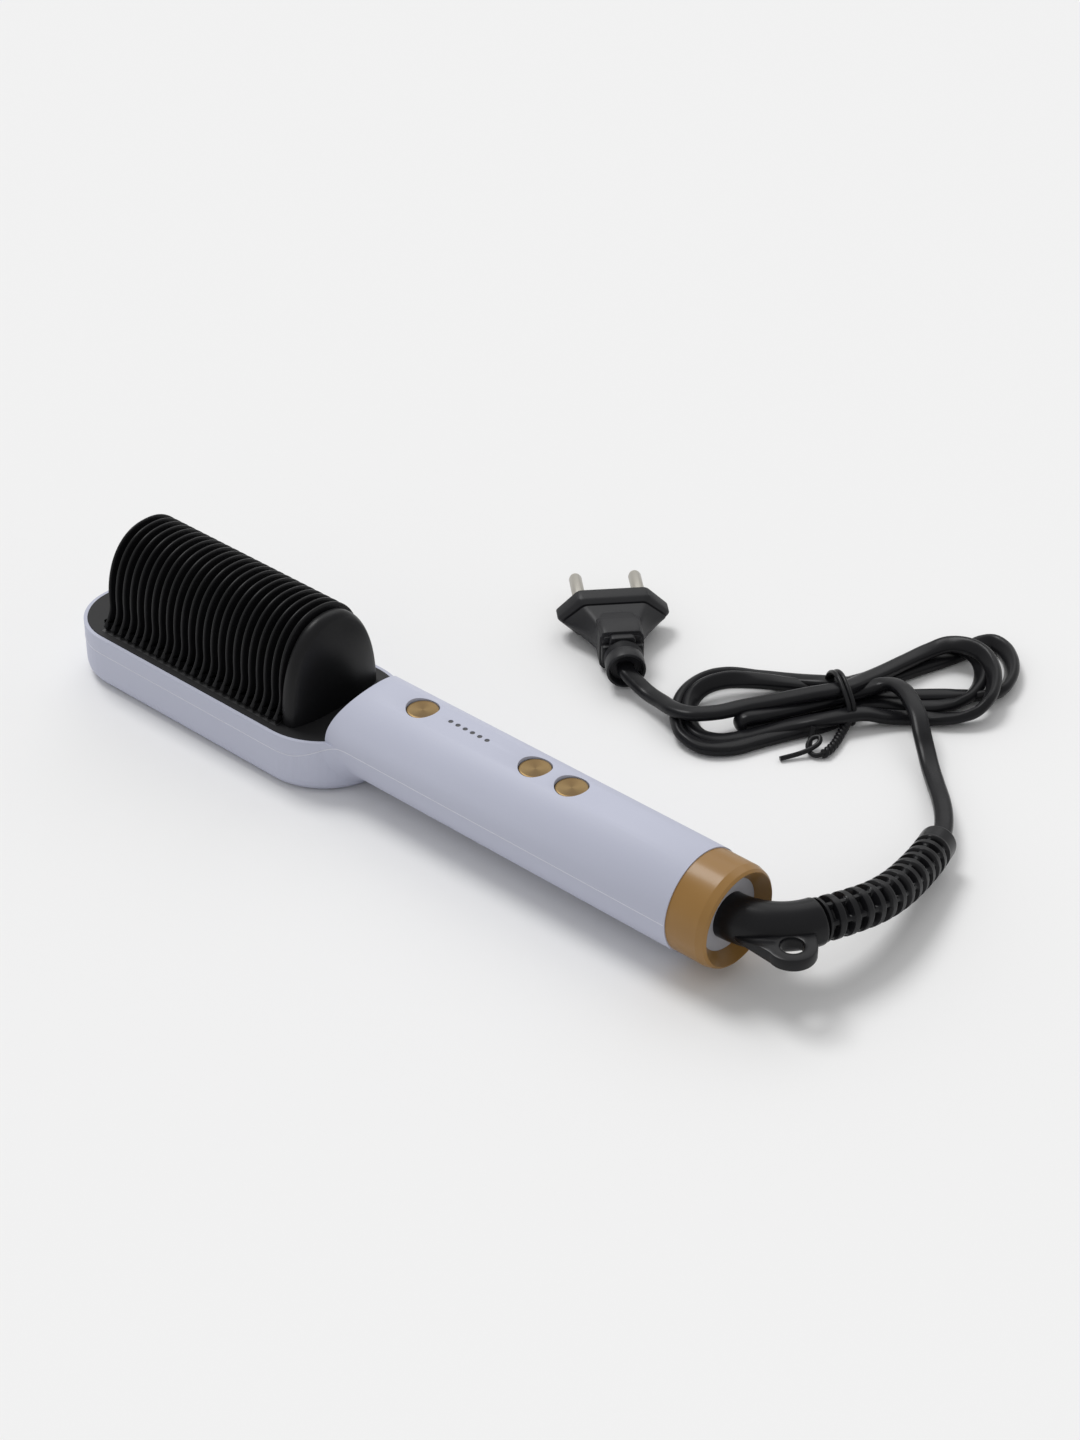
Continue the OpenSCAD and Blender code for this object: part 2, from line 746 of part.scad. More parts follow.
module swivel_elbow() place() color([0.1, 0.1, 0.11]) difference() {
    union() {
        axis_cylinder(elbow_r, stub_x0, stub_x1);
        axis_cylinder(tail_r, tail_x0, stub_x0);
        bend();
        translate([0, 0, tab_z - tab_t])
            linear_extrude(height = tab_t) {
                translate([eye_x, eye_y])
                    circle(r = lobe_r);
                polygon([bend_point(bend_a * 0.15), lobe_point(-105), lobe_point(40), bend_point(bend_a * 0.95)]);
            }
    }
    turned_sleeve(groove_x0, groove_x0 + groove_w, groove_r, elbow_r + 1);
    translate([eye_x, eye_y, tab_z - tab_t - 1])
        cylinder(r = eye_d / 2, h = tab_t + 2);
}

module swivel_clip() place() color([0.62, 0.62, 0.63]) difference() {
    turned_sleeve(groove_x0 + 0.1, groove_x0 + 0.1 + clip_t, groove_r, clip_r);
    translate([groove_x0 - 1, -2, rim_z - clip_r - 1])
        cube([4, 4, clip_r]);
}

module contact_rings() place() color([0.75, 0.58, 0.3])
    for (x = slip_x)
        turned_sleeve(x - slip_w / 2, x + slip_w / 2, tail_r, slip_r);

module brush_boxes() {
    for (x = slip_x)
        translate([x - brush_w / 2, -brush_l / 2, rim_z + slip_r + brush_gap])
            cube([brush_w, brush_l, brush_out - slip_r - brush_gap]);
}

module contact_brushes() place() color([0.72, 0.5, 0.28])
    brush_boxes();

module brush_holder() place() color([0.82, 0.8, 0.74]) difference() {
    union() {
        axis_cylinder(spigot_r, holder_x0, -spigot_l);
        axis_cylinder(sleeve_r - 0.2, -spigot_l, holder_x1);
    }
    axis_cylinder(holder_bore_r, holder_x0 - 1, holder_x1 + 1);
    brush_boxes();
}

module mains_leads() place() color([0.25, 0.35, 0.7])
    for (side = [-1, 1])
        tube([[holder_x0, side * 9, board_z0 + lead_r], [holder_x0 - 5, side * 8.5, board_z0 + lead_r],
            [(holder_x0 + board_x1) / 2, side * 7.5, board_z0 + lead_r],
            [board_x1 + 4, side * 6, board_z0 + lead_r], [board_x1, side * 6, board_z0 + lead_r]],
            lead_r, lead_r);

module shell_screw(x, seat_z, l) {
    translate([x, 0, seat_z - screw_head_h])
        cylinder(r = screw_head_r, h = screw_head_h);
    translate([x, 0, seat_z])
        cylinder(r = screw_r, h = l);
}

module shell_screws() place() color([0.55, 0.56, 0.58]) {
    for (x = [tip_screw_x, deck_screw_x])
        shell_screw(x, head_seat_z, head_screw_l);
    for (x = [neck_screw_x, tail_screw_x])
        shell_screw(x, handle_seat_z, handle_screw_l);
}

// Ribbed sleeve, thick at each rib and thin between them, with a smooth collar at its end
module strain_relief() place() color([0.12, 0.12, 0.13]) {
    rib_u0 = 0.05;
    rib_u1 = 0.92;
    steps = [for (i = [0:relief_n - 1]) for (e = [[0.05, 0], [0.15, 1], [0.6, 1], [0.7, 0]])
        [lerp(rib_u0, rib_u1, (i + e[0]) / relief_n), e[1]]];
    skin(concat(
        [ring_at(relief_path[0], [cos(bend_a), sin(bend_a), 0], relief_rib_r, relief_rib_r, 12)],
        [for (s = steps)
            let (r = s[1] > 0 ? relief_rib_r : relief_dip_r)
            ring_at(point_on(relief_path, s[0]), heading_on(relief_path, s[0]), r, r, 12)],
        [for (u = [rib_u1, 1])
            ring_at(point_on(relief_path, u), heading_on(relief_path, u), relief_end_r, relief_end_r, 12)]));
}

module cord_run() place() color([0.1, 0.1, 0.11]) {
    tube(run_path, cord_a, cord_b);
    tube(plug_path, cord_a, cord_b);
}

module at_tie() {
    translate([tie_at[0], tie_at[1], 0])
        rotate([0, 0, tie_turn])
            children();
}

// Space that the tie's hoop leaves free around the waist of the hank
module tie_window(l, top) {
    translate([-l / 2, -hank_waist / 2, tie_t])
        cube([l, hank_waist, top - tie_t]);
}

// Hank: two rounded lobes that narrow towards the tie, with a channel for its hoop
module cord_hank() place() color([0.1, 0.1, 0.11]) difference() {
    linear_extrude(height = hank_h) {
        translate(hank_a)
            circle(r = hank_a_r);
        translate(hank_b)
            circle(r = hank_b_r);
        polygon([on_circle(hank_a, hank_a_r, 113), on_circle(hank_a, hank_a_r, -7),
            on_circle(tie_at, hank_waist / 2, tie_turn - 90), on_circle(hank_b, hank_b_r, -53),
            on_circle(hank_b, hank_b_r, -173), on_circle(tie_at, hank_waist / 2, tie_turn + 90)]);
    }
    at_tie() difference() {
        translate([-tie_w / 2, -hank_waist, -1])
            cube([tie_w, 2 * hank_waist, hank_h + 2]);
        tie_window(tie_w + 2, hank_h + 2);
    }
}

module twist_tie() place() color([0.07, 0.07, 0.08]) {
    at_tie() difference() {
        translate([-tie_w / 2, -hank_waist / 2 - tie_t, 0])
            cube([tie_w, hank_waist + 2 * tie_t, hank_h + tie_t]);
        tie_window(tie_w + 2, hank_h);
    }
    tube(tie_tail, 1.2, 1.2);
}

module at_plug() {
    translate(plug_at)
        rotate([0, 0, plug_turn])
            children();
}

// Six-sided section of the plug, in its own Y and Z
module plug_section(w, top_w, h) {
    polygon([[w / 2, 0], [top_w / 2, h / 2], [-top_w / 2, h / 2],
        [-w / 2, 0], [-top_w / 2, -h / 2], [top_w / 2, -h / 2]]);
}

module plug_slab(x0, x1, w, top_w, h) {
    translate([x0, 0, 0])
        rotate([90, 0, 90])
            linear_extrude(height = x1 - x0)
                plug_section(w, top_w, h);
}

module plug_body() place() color([0.14, 0.14, 0.15]) at_plug() difference() {
    union() {
        plug_slab(-plug_rim, 0, plug_w, plug_top_w, plug_h);
        hull() {
            plug_slab(-plug_rim - 0.6, -plug_rim, plug_w - 2 * plug_groove,
                plug_top_w - plug_groove, plug_h - 2 * plug_groove);
            plug_slab(-plug_rim - shoulder_l, -plug_rim - shoulder_l + 1, neck_w + 3, neck_w, neck_h - 1);
        }
        translate([-neck_l, -neck_w / 2, -neck_h / 2])
            cube([neck_l - plug_rim, neck_w, neck_h]);
    }
    for (side = [-1, 1])
        translate([-pin_sink, side * pin_gap / 2, 0])
            rotate([0, 90, 0])
                cylinder(r = pin_root_r, h = pin_sink + 1);
}

module plug_pins() place() color([0.8, 0.78, 0.72]) at_plug()
    for (side = [-1, 1])
        translate([0, side * pin_gap / 2, 0])
            rotate([0, 90, 0]) {
                cylinder(r = pin_d / 2, h = pin_l);
                translate([0, 0, -pin_sink])
                    cylinder(r = pin_root_r, h = pin_sink);
            }

module plug_grommet() place() color([0.1, 0.1, 0.11]) at_plug()
    translate([-neck_l, 0, 0])
        rotate([0, -90, 0])
            difference() {
                cylinder(r = grommet_r, h = grommet_l);
                for (z = [2, 5])
                    translate([0, 0, z])
                        difference() {
                            cylinder(r = grommet_r + 1, h = 1);
                            cylinder(r = grommet_r - 1, h = 1);
                        }
            }

upper_shell();
lower_shell();
comb_base();
comb_fins();
end_guard();
heating_plate();
heating_element();
insulation_sheet();
element_clamp();
heat_shield();
thermistor();
thermal_fuse();
heater_leads();
control_board();
board_screws();
triac();
capacitor();
tact_switches();
indicator_leds();
light_guide();
power_button();
minus_button();
plus_button();
tail_ring();
end_bush();
swivel_elbow();
swivel_clip();
contact_rings();
contact_brushes();
brush_holder();
mains_leads();
shell_screws();
strain_relief();
cord_run();
cord_hank();
twist_tie();
plug_body();
plug_pins();
plug_grommet();
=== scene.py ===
import math

import bmesh
import bpy
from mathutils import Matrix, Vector
from mathutils.bvhtree import BVHTree


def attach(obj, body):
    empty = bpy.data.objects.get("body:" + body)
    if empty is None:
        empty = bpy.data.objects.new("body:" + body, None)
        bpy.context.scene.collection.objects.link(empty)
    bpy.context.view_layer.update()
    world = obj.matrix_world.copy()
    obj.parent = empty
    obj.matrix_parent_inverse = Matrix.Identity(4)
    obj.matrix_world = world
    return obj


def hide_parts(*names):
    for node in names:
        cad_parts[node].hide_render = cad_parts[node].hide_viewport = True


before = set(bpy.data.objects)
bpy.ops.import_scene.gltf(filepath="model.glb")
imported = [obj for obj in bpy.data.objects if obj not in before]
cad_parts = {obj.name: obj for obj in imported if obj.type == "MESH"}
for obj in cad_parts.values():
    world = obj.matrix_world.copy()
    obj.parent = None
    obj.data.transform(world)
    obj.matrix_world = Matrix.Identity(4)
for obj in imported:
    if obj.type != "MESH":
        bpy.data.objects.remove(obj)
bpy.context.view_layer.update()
scene = bpy.context.scene
mm = 0.001
placeX = 96.564  # from the back end of the handle's shells to the frame's zero, in mm
axisZ = 17.7  # height of the handle's axis, in mm
softShare = 0.3  # where a rounded edge's middle point lies, as a share of the edge


def toFrame(point):
    return Vector(((point[0] + placeX) * mm, point[1] * mm, point[2] * mm))


# Camera

cameraSetup = {"place": (0.470394, -0.47606, 0.48745), "tilt": 55.621, "turn": 42.117, "lens": 73.4}

cameraData = bpy.data.cameras.new("camera")
cameraData.lens = cameraSetup["lens"]
cameraData.sensor_width = 36
cameraObject = bpy.data.objects.new("camera", cameraData)
cameraObject.location = cameraSetup["place"]
cameraObject.rotation_euler = (math.radians(cameraSetup["tilt"]), 0, math.radians(cameraSetup["turn"]))
scene.collection.objects.link(cameraObject)
scene.camera = cameraObject
scene.view_settings.view_transform = "Standard"
print("camera placed")


# Effects that several finishes share, as node groups

def newGroup(name, inputs, outputs):
    group = bpy.data.node_groups.new(name, "ShaderNodeTree")
    for label, kind, value in inputs:
        socket = group.interface.new_socket(label, in_out="INPUT", socket_type=kind)
        if value is not None:
            socket.default_value = value
    for label, kind in outputs:
        group.interface.new_socket(label, in_out="OUTPUT", socket_type=kind)
    return group, group.nodes.new("NodeGroupInput"), group.nodes.new("NodeGroupOutput")


def addNode(tree, kind, settings=None, **sockets):
    node = tree.nodes.new(kind)
    for key, value in (settings or {}).items():
        setattr(node, key, value)
    for key, value in sockets.items():
        node.inputs[key].default_value = value
    return node


def mathNode(tree, operation, first, second):
    node = addNode(tree, "ShaderNodeMath", {"operation": operation})
    for index, value in enumerate((first, second)):
        if isinstance(value, (int, float)):
            node.inputs[index].default_value = value
        else:
            tree.links.new(value, node.inputs[index])
    return node.outputs[0]


def buildGrain():
    group, start, end = newGroup(
        "mouldGrain",
        [("Scale", "NodeSocketFloat", 900.0), ("Blotch", "NodeSocketFloat", 40.0)],
        [("Height", "NodeSocketFloat"), ("Cloud", "NodeSocketFloat")])
    where = addNode(group, "ShaderNodeTexCoord")
    fine = addNode(group, "ShaderNodeTexNoise", None, Detail=3.0, Roughness=0.6)
    cloud = addNode(group, "ShaderNodeTexNoise", None, Detail=2.0, Roughness=0.5)
    for texture, label in ((fine, "Scale"), (cloud, "Blotch")):
        group.links.new(where.outputs["Object"], texture.inputs["Vector"])
        group.links.new(start.outputs[label], texture.inputs["Scale"])
    group.links.new(fine.outputs["Fac"], end.inputs["Height"])
    group.links.new(cloud.outputs["Fac"], end.inputs["Cloud"])
    return group


def buildWear():
    group, start, end = newGroup(
        "dustAndRubs",
        [("Scale", "NodeSocketFloat", 260.0), ("Amount", "NodeSocketFloat", 0.2)],
        [("Mask", "NodeSocketFloat")])
    where = addNode(group, "ShaderNodeTexCoord")
    specks = addNode(group, "ShaderNodeTexNoise", None, Detail=5.0, Roughness=0.75)
    group.links.new(where.outputs["Object"], specks.inputs["Vector"])
    group.links.new(start.outputs["Scale"], specks.inputs["Scale"])
    band = addNode(group, "ShaderNodeMapRange")
    band.inputs["From Min"].default_value = 0.6
    band.inputs["From Max"].default_value = 0.78
    group.links.new(specks.outputs["Fac"], band.inputs["Value"])
    mask = mathNode(group, "MULTIPLY", band.outputs["Result"], start.outputs["Amount"])
    group.links.new(mask, end.inputs["Mask"])
    return group


def buildStreaks():
    group, start, end = newGroup(
        "rollStreaks",
        [("Stretch", "NodeSocketVector", (40.0, 3000.0, 3000.0))],
        [("Height", "NodeSocketFloat")])
    where = addNode(group, "ShaderNodeTexCoord")
    stretch = addNode(group, "ShaderNodeVectorMath", {"operation": "MULTIPLY"})
    group.links.new(where.outputs["Object"], stretch.inputs[0])
    group.links.new(start.outputs["Stretch"], stretch.inputs[1])
    noise = addNode(group, "ShaderNodeTexNoise", None, Scale=1.0, Detail=2.0)
    group.links.new(stretch.outputs[0], noise.inputs["Vector"])
    group.links.new(noise.outputs["Fac"], end.inputs["Height"])
    return group


def buildSpun():
    group, start, end = newGroup(
        "spunRingsAndSheen",
        [("Centre", "NodeSocketVector", (0.0, 0.0, 0.0)), ("Lines", "NodeSocketFloat", 9000.0)],
        [("Height", "NodeSocketFloat"), ("PaintedSheen", "NodeSocketFloat")])
    where = addNode(group, "ShaderNodeTexCoord")
    offset = addNode(group, "ShaderNodeVectorMath", {"operation": "SUBTRACT"})
    group.links.new(where.outputs["Object"], offset.inputs[0])
    group.links.new(start.outputs["Centre"], offset.inputs[1])
    parts = addNode(group, "ShaderNodeSeparateXYZ")
    group.links.new(offset.outputs[0], parts.inputs[0])
    squares = [mathNode(group, "MULTIPLY", parts.outputs[k], parts.outputs[k]) for k in ("X", "Y")]
    radius = mathNode(group, "SQRT", mathNode(group, "ADD", *squares), 0.0)
    rings = addNode(group, "ShaderNodeTexNoise", {"noise_dimensions": "1D"}, Scale=1.0, Detail=2.0)
    group.links.new(mathNode(group, "MULTIPLY", radius, start.outputs["Lines"]), rings.inputs["W"])
    # painted sheen: an output that is lighter in two opposite sectors round the centre
    angle = mathNode(group, "ARCTAN2", parts.outputs["Y"], parts.outputs["X"])
    sweep = mathNode(group, "SINE", mathNode(group, "MULTIPLY", angle, 2.0), 0.0)
    group.links.new(rings.outputs["Fac"], end.inputs["Height"])
    group.links.new(mathNode(group, "MULTIPLY_ADD", sweep, 0.5), end.inputs["PaintedSheen"])
    return group


groups = {"grain": buildGrain(), "wear": buildWear(), "streaks": buildStreaks(), "spun": buildSpun()}


def placeGroup(tree, key, **values):
    node = tree.nodes.new("ShaderNodeGroup")
    node.node_tree = groups[key]
    for label, value in values.items():
        node.inputs[label].default_value = value
    return node


# Finishes: colour, second colour in its clouds, roughness, grain or streaks and their depth in mm, dust

# what a finish takes where it names nothing of its own
plainLook = {
    "grain": 1200, "blotch": 45, "gloss": 0.5, "metal": 0, "coat": 0, "coatRough": 0.12, "bump": 0.7,
    "smoother": 0.05, "rougher": 0.06, "dustScale": 700.0, "dustLift": 1.6, "dustPale": 0.03}

finishes = {
    "paleShell": {
        "colour": (0.49, 0.507, 0.612), "cloud": (0.512, 0.53, 0.632), "rough": 0.5,
        "grain": 2600, "deep": 0.006, "dust": 0.05, "gloss": 0.3},
    "darkDeck": {
        "colour": (0.011, 0.011, 0.012), "cloud": (0.015, 0.015, 0.016), "rough": 0.5,
        "grain": 3200, "deep": 0.015, "dust": 0.2, "gloss": 0.25},
    "finCoating": {
        "colour": (0.006, 0.006, 0.0068), "cloud": (0.009, 0.009, 0.01), "rough": 0.36,
        "grain": 2400, "deep": 0.01, "dust": 0.12, "gloss": 0.2},
    "plateCoating": {
        "colour": (0.02, 0.02, 0.021), "cloud": (0.028, 0.028, 0.03), "rough": 0.5,
        "grain": 2400, "deep": 0.015, "dust": 0.25},
    "ceramic": {
        "colour": (0.78, 0.76, 0.7), "cloud": (0.7, 0.68, 0.62), "rough": 0.7,
        "grain": 1800, "deep": 0.02},
    "mica": {
        "colour": (0.55, 0.47, 0.3), "cloud": (0.42, 0.33, 0.18), "rough": 0.3,
        "grain": 700, "deep": 0.01},
    "springSteel": {
        "colour": (0.55, 0.56, 0.57), "cloud": (0.48, 0.49, 0.5), "rough": 0.3,
        "metal": 1, "streaks": True, "deep": 0.006},
    "brightAluminium": {
        "colour": (0.75, 0.76, 0.77), "cloud": (0.68, 0.69, 0.7), "rough": 0.28,
        "metal": 1, "streaks": True, "deep": 0.005},
    "darkBead": {
        "colour": (0.06, 0.08, 0.13), "cloud": (0.05, 0.06, 0.1), "rough": 0.2,
        "grain": 900, "deep": 0.01},
    "redLead": {
        "colour": (0.5, 0.05, 0.04), "cloud": (0.42, 0.04, 0.03), "rough": 0.45,
        "grain": 1600, "deep": 0.01},
    "blueLead": {
        "colour": (0.08, 0.14, 0.45), "cloud": (0.06, 0.11, 0.38), "rough": 0.45,
        "grain": 1600, "deep": 0.01},
    "greenBoard": {
        "colour": (0.03, 0.18, 0.08), "cloud": (0.04, 0.22, 0.1), "rough": 0.35,
        "grain": 1200, "deep": 0.01},
    "screwSteel": {
        "colour": (0.5, 0.51, 0.53), "cloud": (0.42, 0.43, 0.45), "rough": 0.32,
        "metal": 1, "grain": 1500, "deep": 0.008},
    "blackPlastic": {
        "colour": (0.0065, 0.0065, 0.0075), "cloud": (0.01, 0.01, 0.0115), "rough": 0.3,
        "grain": 2200, "deep": 0.012, "dust": 0.1, "gloss": 0.2},
    "ochreCase": {
        "colour": (0.6, 0.38, 0.07), "cloud": (0.52, 0.32, 0.05), "rough": 0.3,
        "grain": 1200, "deep": 0.01},
    "ledBody": {
        "colour": (0.85, 0.82, 0.7), "cloud": (0.75, 0.7, 0.55), "rough": 0.25,
        "grain": 2200, "deep": 0.006},
    "clearPlastic": {
        "colour": (0.03, 0.03, 0.035), "cloud": (0.05, 0.05, 0.055), "rough": 0.25,
        "grain": 1500, "deep": 0.006},
    "amberGold": {
        "colour": (0.262, 0.134, 0.031), "cloud": (0.31, 0.168, 0.046), "rough": 0.33,
        "grain": 2000, "deep": 0.005, "coat": 0.08, "blotch": 90, "gloss": 0.35},
    "greyBush": {
        "colour": (0.42, 0.42, 0.45), "cloud": (0.36, 0.36, 0.39), "rough": 0.5,
        "grain": 1800, "deep": 0.015, "dust": 0.1},
    "contactBrass": {
        "colour": (0.7, 0.5, 0.22), "cloud": (0.6, 0.4, 0.16), "rough": 0.28,
        "metal": 1, "grain": 1500, "deep": 0.008},
    "cordRubber": {
        "colour": (0.0065, 0.0065, 0.0075), "cloud": (0.0105, 0.0105, 0.012), "rough": 0.28,
        "grain": 1500, "deep": 0.02, "dust": 0.1, "gloss": 0.16},
    "tiePlastic": {
        "colour": (0.006, 0.006, 0.007), "cloud": (0.01, 0.01, 0.011), "rough": 0.28,
        "grain": 1800, "deep": 0.02, "gloss": 0.2},
    "plugRubber": {
        "colour": (0.011, 0.011, 0.0125), "cloud": (0.016, 0.016, 0.018), "rough": 0.44,
        "grain": 2600, "deep": 0.03, "dust": 0.15, "gloss": 0.27},
    "pinNickel": {
        "colour": (0.44, 0.42, 0.37), "cloud": (0.39, 0.37, 0.33), "rough": 0.35,
        "metal": 0.35, "grain": 1500, "deep": 0.006},
    # paler than the shell: a painted highlight along the parting line
    "seamEdge": {
        "colour": (0.7, 0.71, 0.79), "cloud": (0.62, 0.63, 0.7), "rough": 0.45,
        "grain": 1500, "deep": 0.005},
}


def startMaterial(name):
    material = bpy.data.materials.new(name)
    material.use_nodes = True
    return material, material.node_tree, material.node_tree.nodes["Principled BSDF"]


def mixColour(tree, first, second, factor):
    node = addNode(tree, "ShaderNodeMix", {"data_type": "RGBA"})
    colours = [socket for socket in node.inputs if socket.type == "RGBA"]
    for socket, value in zip(colours, (first, second)):
        if isinstance(value, tuple):
            socket.default_value = (*value, 1)
        else:
            tree.links.new(value, socket)
    tree.links.new(factor, node.inputs["Factor"])
    return [socket for socket in node.outputs if socket.type == "RGBA"][0]


def addBump(tree, shader, height, depth):
    bump = addNode(tree, "ShaderNodeBump", None, Distance=depth * mm, Strength=plainLook["bump"])
    tree.links.new(height, bump.inputs["Height"])
    tree.links.new(bump.outputs["Normal"], shader.inputs["Normal"])


def dustColour(colour):
    return tuple(min(1, c * plainLook["dustLift"] + plainLook["dustPale"]) for c in colour)


def makeFinish(name, ownLook):
    look = {**plainLook, **ownLook}
    material, tree, shader = startMaterial(name)
    grain = placeGroup(tree, "grain", Scale=float(look["grain"]), Blotch=float(look["blotch"]))
    colour = mixColour(tree, look["colour"], look["cloud"], grain.outputs["Cloud"])
    if "dust" in look:
        wear = placeGroup(tree, "wear", Scale=look["dustScale"], Amount=look["dust"])
        colour = mixColour(tree, colour, dustColour(look["colour"]), wear.outputs["Mask"])
    tree.links.new(colour, shader.inputs["Base Color"])
    spread = addNode(tree, "ShaderNodeMapRange")
    spread.inputs["To Min"].default_value = look["rough"] - look["smoother"]
    spread.inputs["To Max"].default_value = look["rough"] + look["rougher"]
    tree.links.new(grain.outputs["Cloud"], spread.inputs["Value"])
    tree.links.new(spread.outputs["Result"], shader.inputs["Roughness"])
    shader.inputs["Metallic"].default_value = look["metal"]
    shader.inputs["Specular IOR Level"].default_value = look["gloss"]
    shader.inputs["Coat Weight"].default_value = look["coat"]
    shader.inputs["Coat Roughness"].default_value = look["coatRough"]
    height = grain.outputs["Height"]
    if "streaks" in look:
        height = placeGroup(tree, "streaks").outputs["Height"]
    addBump(tree, shader, height, look["deep"])
    return material


materials = {name: makeFinish(name, look) for name, look in finishes.items()}

# buttons with a spun face; the lighter colour in two opposite sweeps is a painted sheen
spunLook = {
    "colour": (0.165, 0.1, 0.033), "sheenColour": (0.25, 0.163, 0.062), "metal": 0.6, "rough": 0.36, "deep": 0.02}


def makeSpun(name, centre):
    material, tree, shader = startMaterial(name)
    spun = placeGroup(tree, "spun", Centre=centre)
    # painted sheen: the colour turns lighter in two opposite sweeps
    colour = mixColour(tree, spunLook["colour"], spunLook["sheenColour"], spun.outputs["PaintedSheen"])
    tree.links.new(colour, shader.inputs["Base Color"])
    shader.inputs["Metallic"].default_value = spunLook["metal"]
    shader.inputs["Roughness"].default_value = spunLook["rough"]
    addBump(tree, shader, spun.outputs["Height"], spunLook["deep"])
    return material


print("finishes made:", len(materials))


# Mesh helpers. Points are in mm, measured from the back end of the handle's shells

def addPiece(name, points, faces, finish, body, slot, sharp=35):
    mesh = bpy.data.meshes.new(name)
    mesh.from_pydata([toFrame(point) for point in points], [], faces)
    mesh.validate()
    work = bmesh.new()
    work.from_mesh(mesh)
    bmesh.ops.recalc_face_normals(work, faces=work.faces)
    work.to_mesh(mesh)
    work.free()
    mesh.shade_smooth()
    mesh.set_sharp_from_angle(angle=math.radians(sharp))
    mesh.materials.append(materials[finish] if isinstance(finish, str) else finish)
    piece = bpy.data.objects.new(name, mesh)
    scene.collection.objects.link(piece)
    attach(piece, body)
    return piece


def loft(rings, wrapped=False):
    count = len(rings[0])
    points = [point for ring in rings for point in ring]
    faces = []
    for j in range(len(rings) if wrapped else len(rings) - 1):
        here, there = j * count, (j + 1) % len(rings) * count
        for k in range(count):
            n = (k + 1) % count
            faces.append((here + k, here + n, there + n, there + k))
    if not wrapped:
        faces.append(tuple(range(count)))
        faces.append(tuple((len(rings) - 1) * count + k for k in range(count)))
    return points, faces


def merge(*parts):
    points, faces = [], []
    for morePoints, moreFaces in parts:
        base = len(points)
        points += list(morePoints)
        faces += [tuple(base + k for k in face) for face in moreFaces]
    return points, faces


def pathSteps(first, second, step):
    # at least three, so that short stretches stay round
    return max(3, round((Vector(second[:3]) - Vector(first[:3])).length / step))


def smoothPath(points, step):
    points = [Vector(point[:3]) for point in points]
    first = points[0] * 2 - points[1]
    last = points[-1] * 2 - points[-2]
    row = [first] + points + [last]
    out = []
    for i in range(1, len(row) - 2):
        p0, p1, p2, p3 = row[i - 1:i + 3]
        t = [0.0]
        for a, b in ((p0, p1), (p1, p2), (p2, p3)):
            t.append(t[-1] + max((b - a).length, 1e-6) ** 0.5)
        n = pathSteps(p1, p2, step)
        for k in range(n):
            u = t[1] + (t[2] - t[1]) * k / n
            a1 = p0.lerp(p1, (u - t[0]) / (t[1] - t[0]))
            a2 = p1.lerp(p2, (u - t[1]) / (t[2] - t[1]))
            a3 = p2.lerp(p3, (u - t[2]) / (t[3] - t[2]))
            b1 = a1.lerp(a2, (u - t[0]) / (t[2] - t[0]))
            b2 = a2.lerp(a3, (u - t[1]) / (t[3] - t[1]))
            out.append(b1.lerp(b2, (u - t[1]) / (t[2] - t[1])))
    out.append(points[-1])
    return out


def headings(path):
    last = len(path) - 1
    return [(path[min(i + 1, last)] - path[max(i - 1, 0)]).normalized() for i in range(last + 1)]


levelling = {"from": 0.25, "pull": 0.5}  # least run on the flat, and how fast a section levels out


def pathFrames(path):
    # side and up at each point: carried along the path, and turned level where it isn't steep
    frames, side = [], None
    for along in headings(path):
        flat = along.cross(Vector((0, 0, 1)))
        if side is None:
            side = flat.normalized()
        else:
            carried = (side - along * side.dot(along)).normalized()
            if flat.length > levelling["from"]:
                level = flat.normalized()
                if level.dot(carried) < 0:
                    level = -level
                carried = carried.lerp(level, min(1.0, flat.length) * levelling["pull"]).normalized()
            side = carried
        frames.append((side, side.cross(along).normalized()))
    return frames


def ramp(value, low, high):
    t = min(1.0, max(0.0, (value - low) / (high - low)))
    return t * t * (3 - 2 * t)


def sweep(path, section):
    rings = []
    for i, (point, (side, up)) in enumerate(zip(path, pathFrames(path))):
        rings.append([point + side * s + up * n for s, n in section(i, len(path))])
    return loft(rings)


def roundSection(radius, sides):
    angles = [2 * math.pi * k / sides for k in range(sides)]
    return [(radius * math.cos(angle), radius * math.sin(angle)) for angle in angles]


def squircle(halfWidth, halfHeight, power, sides):
    out = []
    for k in range(sides):
        c, s = math.cos(2 * math.pi * k / sides), math.sin(2 * math.pi * k / sides)
        across = halfWidth * math.copysign(abs(c) ** (2 / power), c)
        high = halfHeight * math.copysign(abs(s) ** (2 / power), s)
        out.append((across, high))
    return out


def lathe(profile, place, sides):
    # profile: pairs of distance along and radius; place turns them into points
    angles = [2 * math.pi * k / sides for k in range(sides)]
    return loft([[place(along, radius, angle) for angle in angles] for along, radius in profile])


# Flat cord from the strain relief to the plug, through the hank

cordLook = {"halfWidth": 2.65, "halfThick": 1.65, "power": 2.9, "sides": 24, "step": 1.0, "length": 0.852}

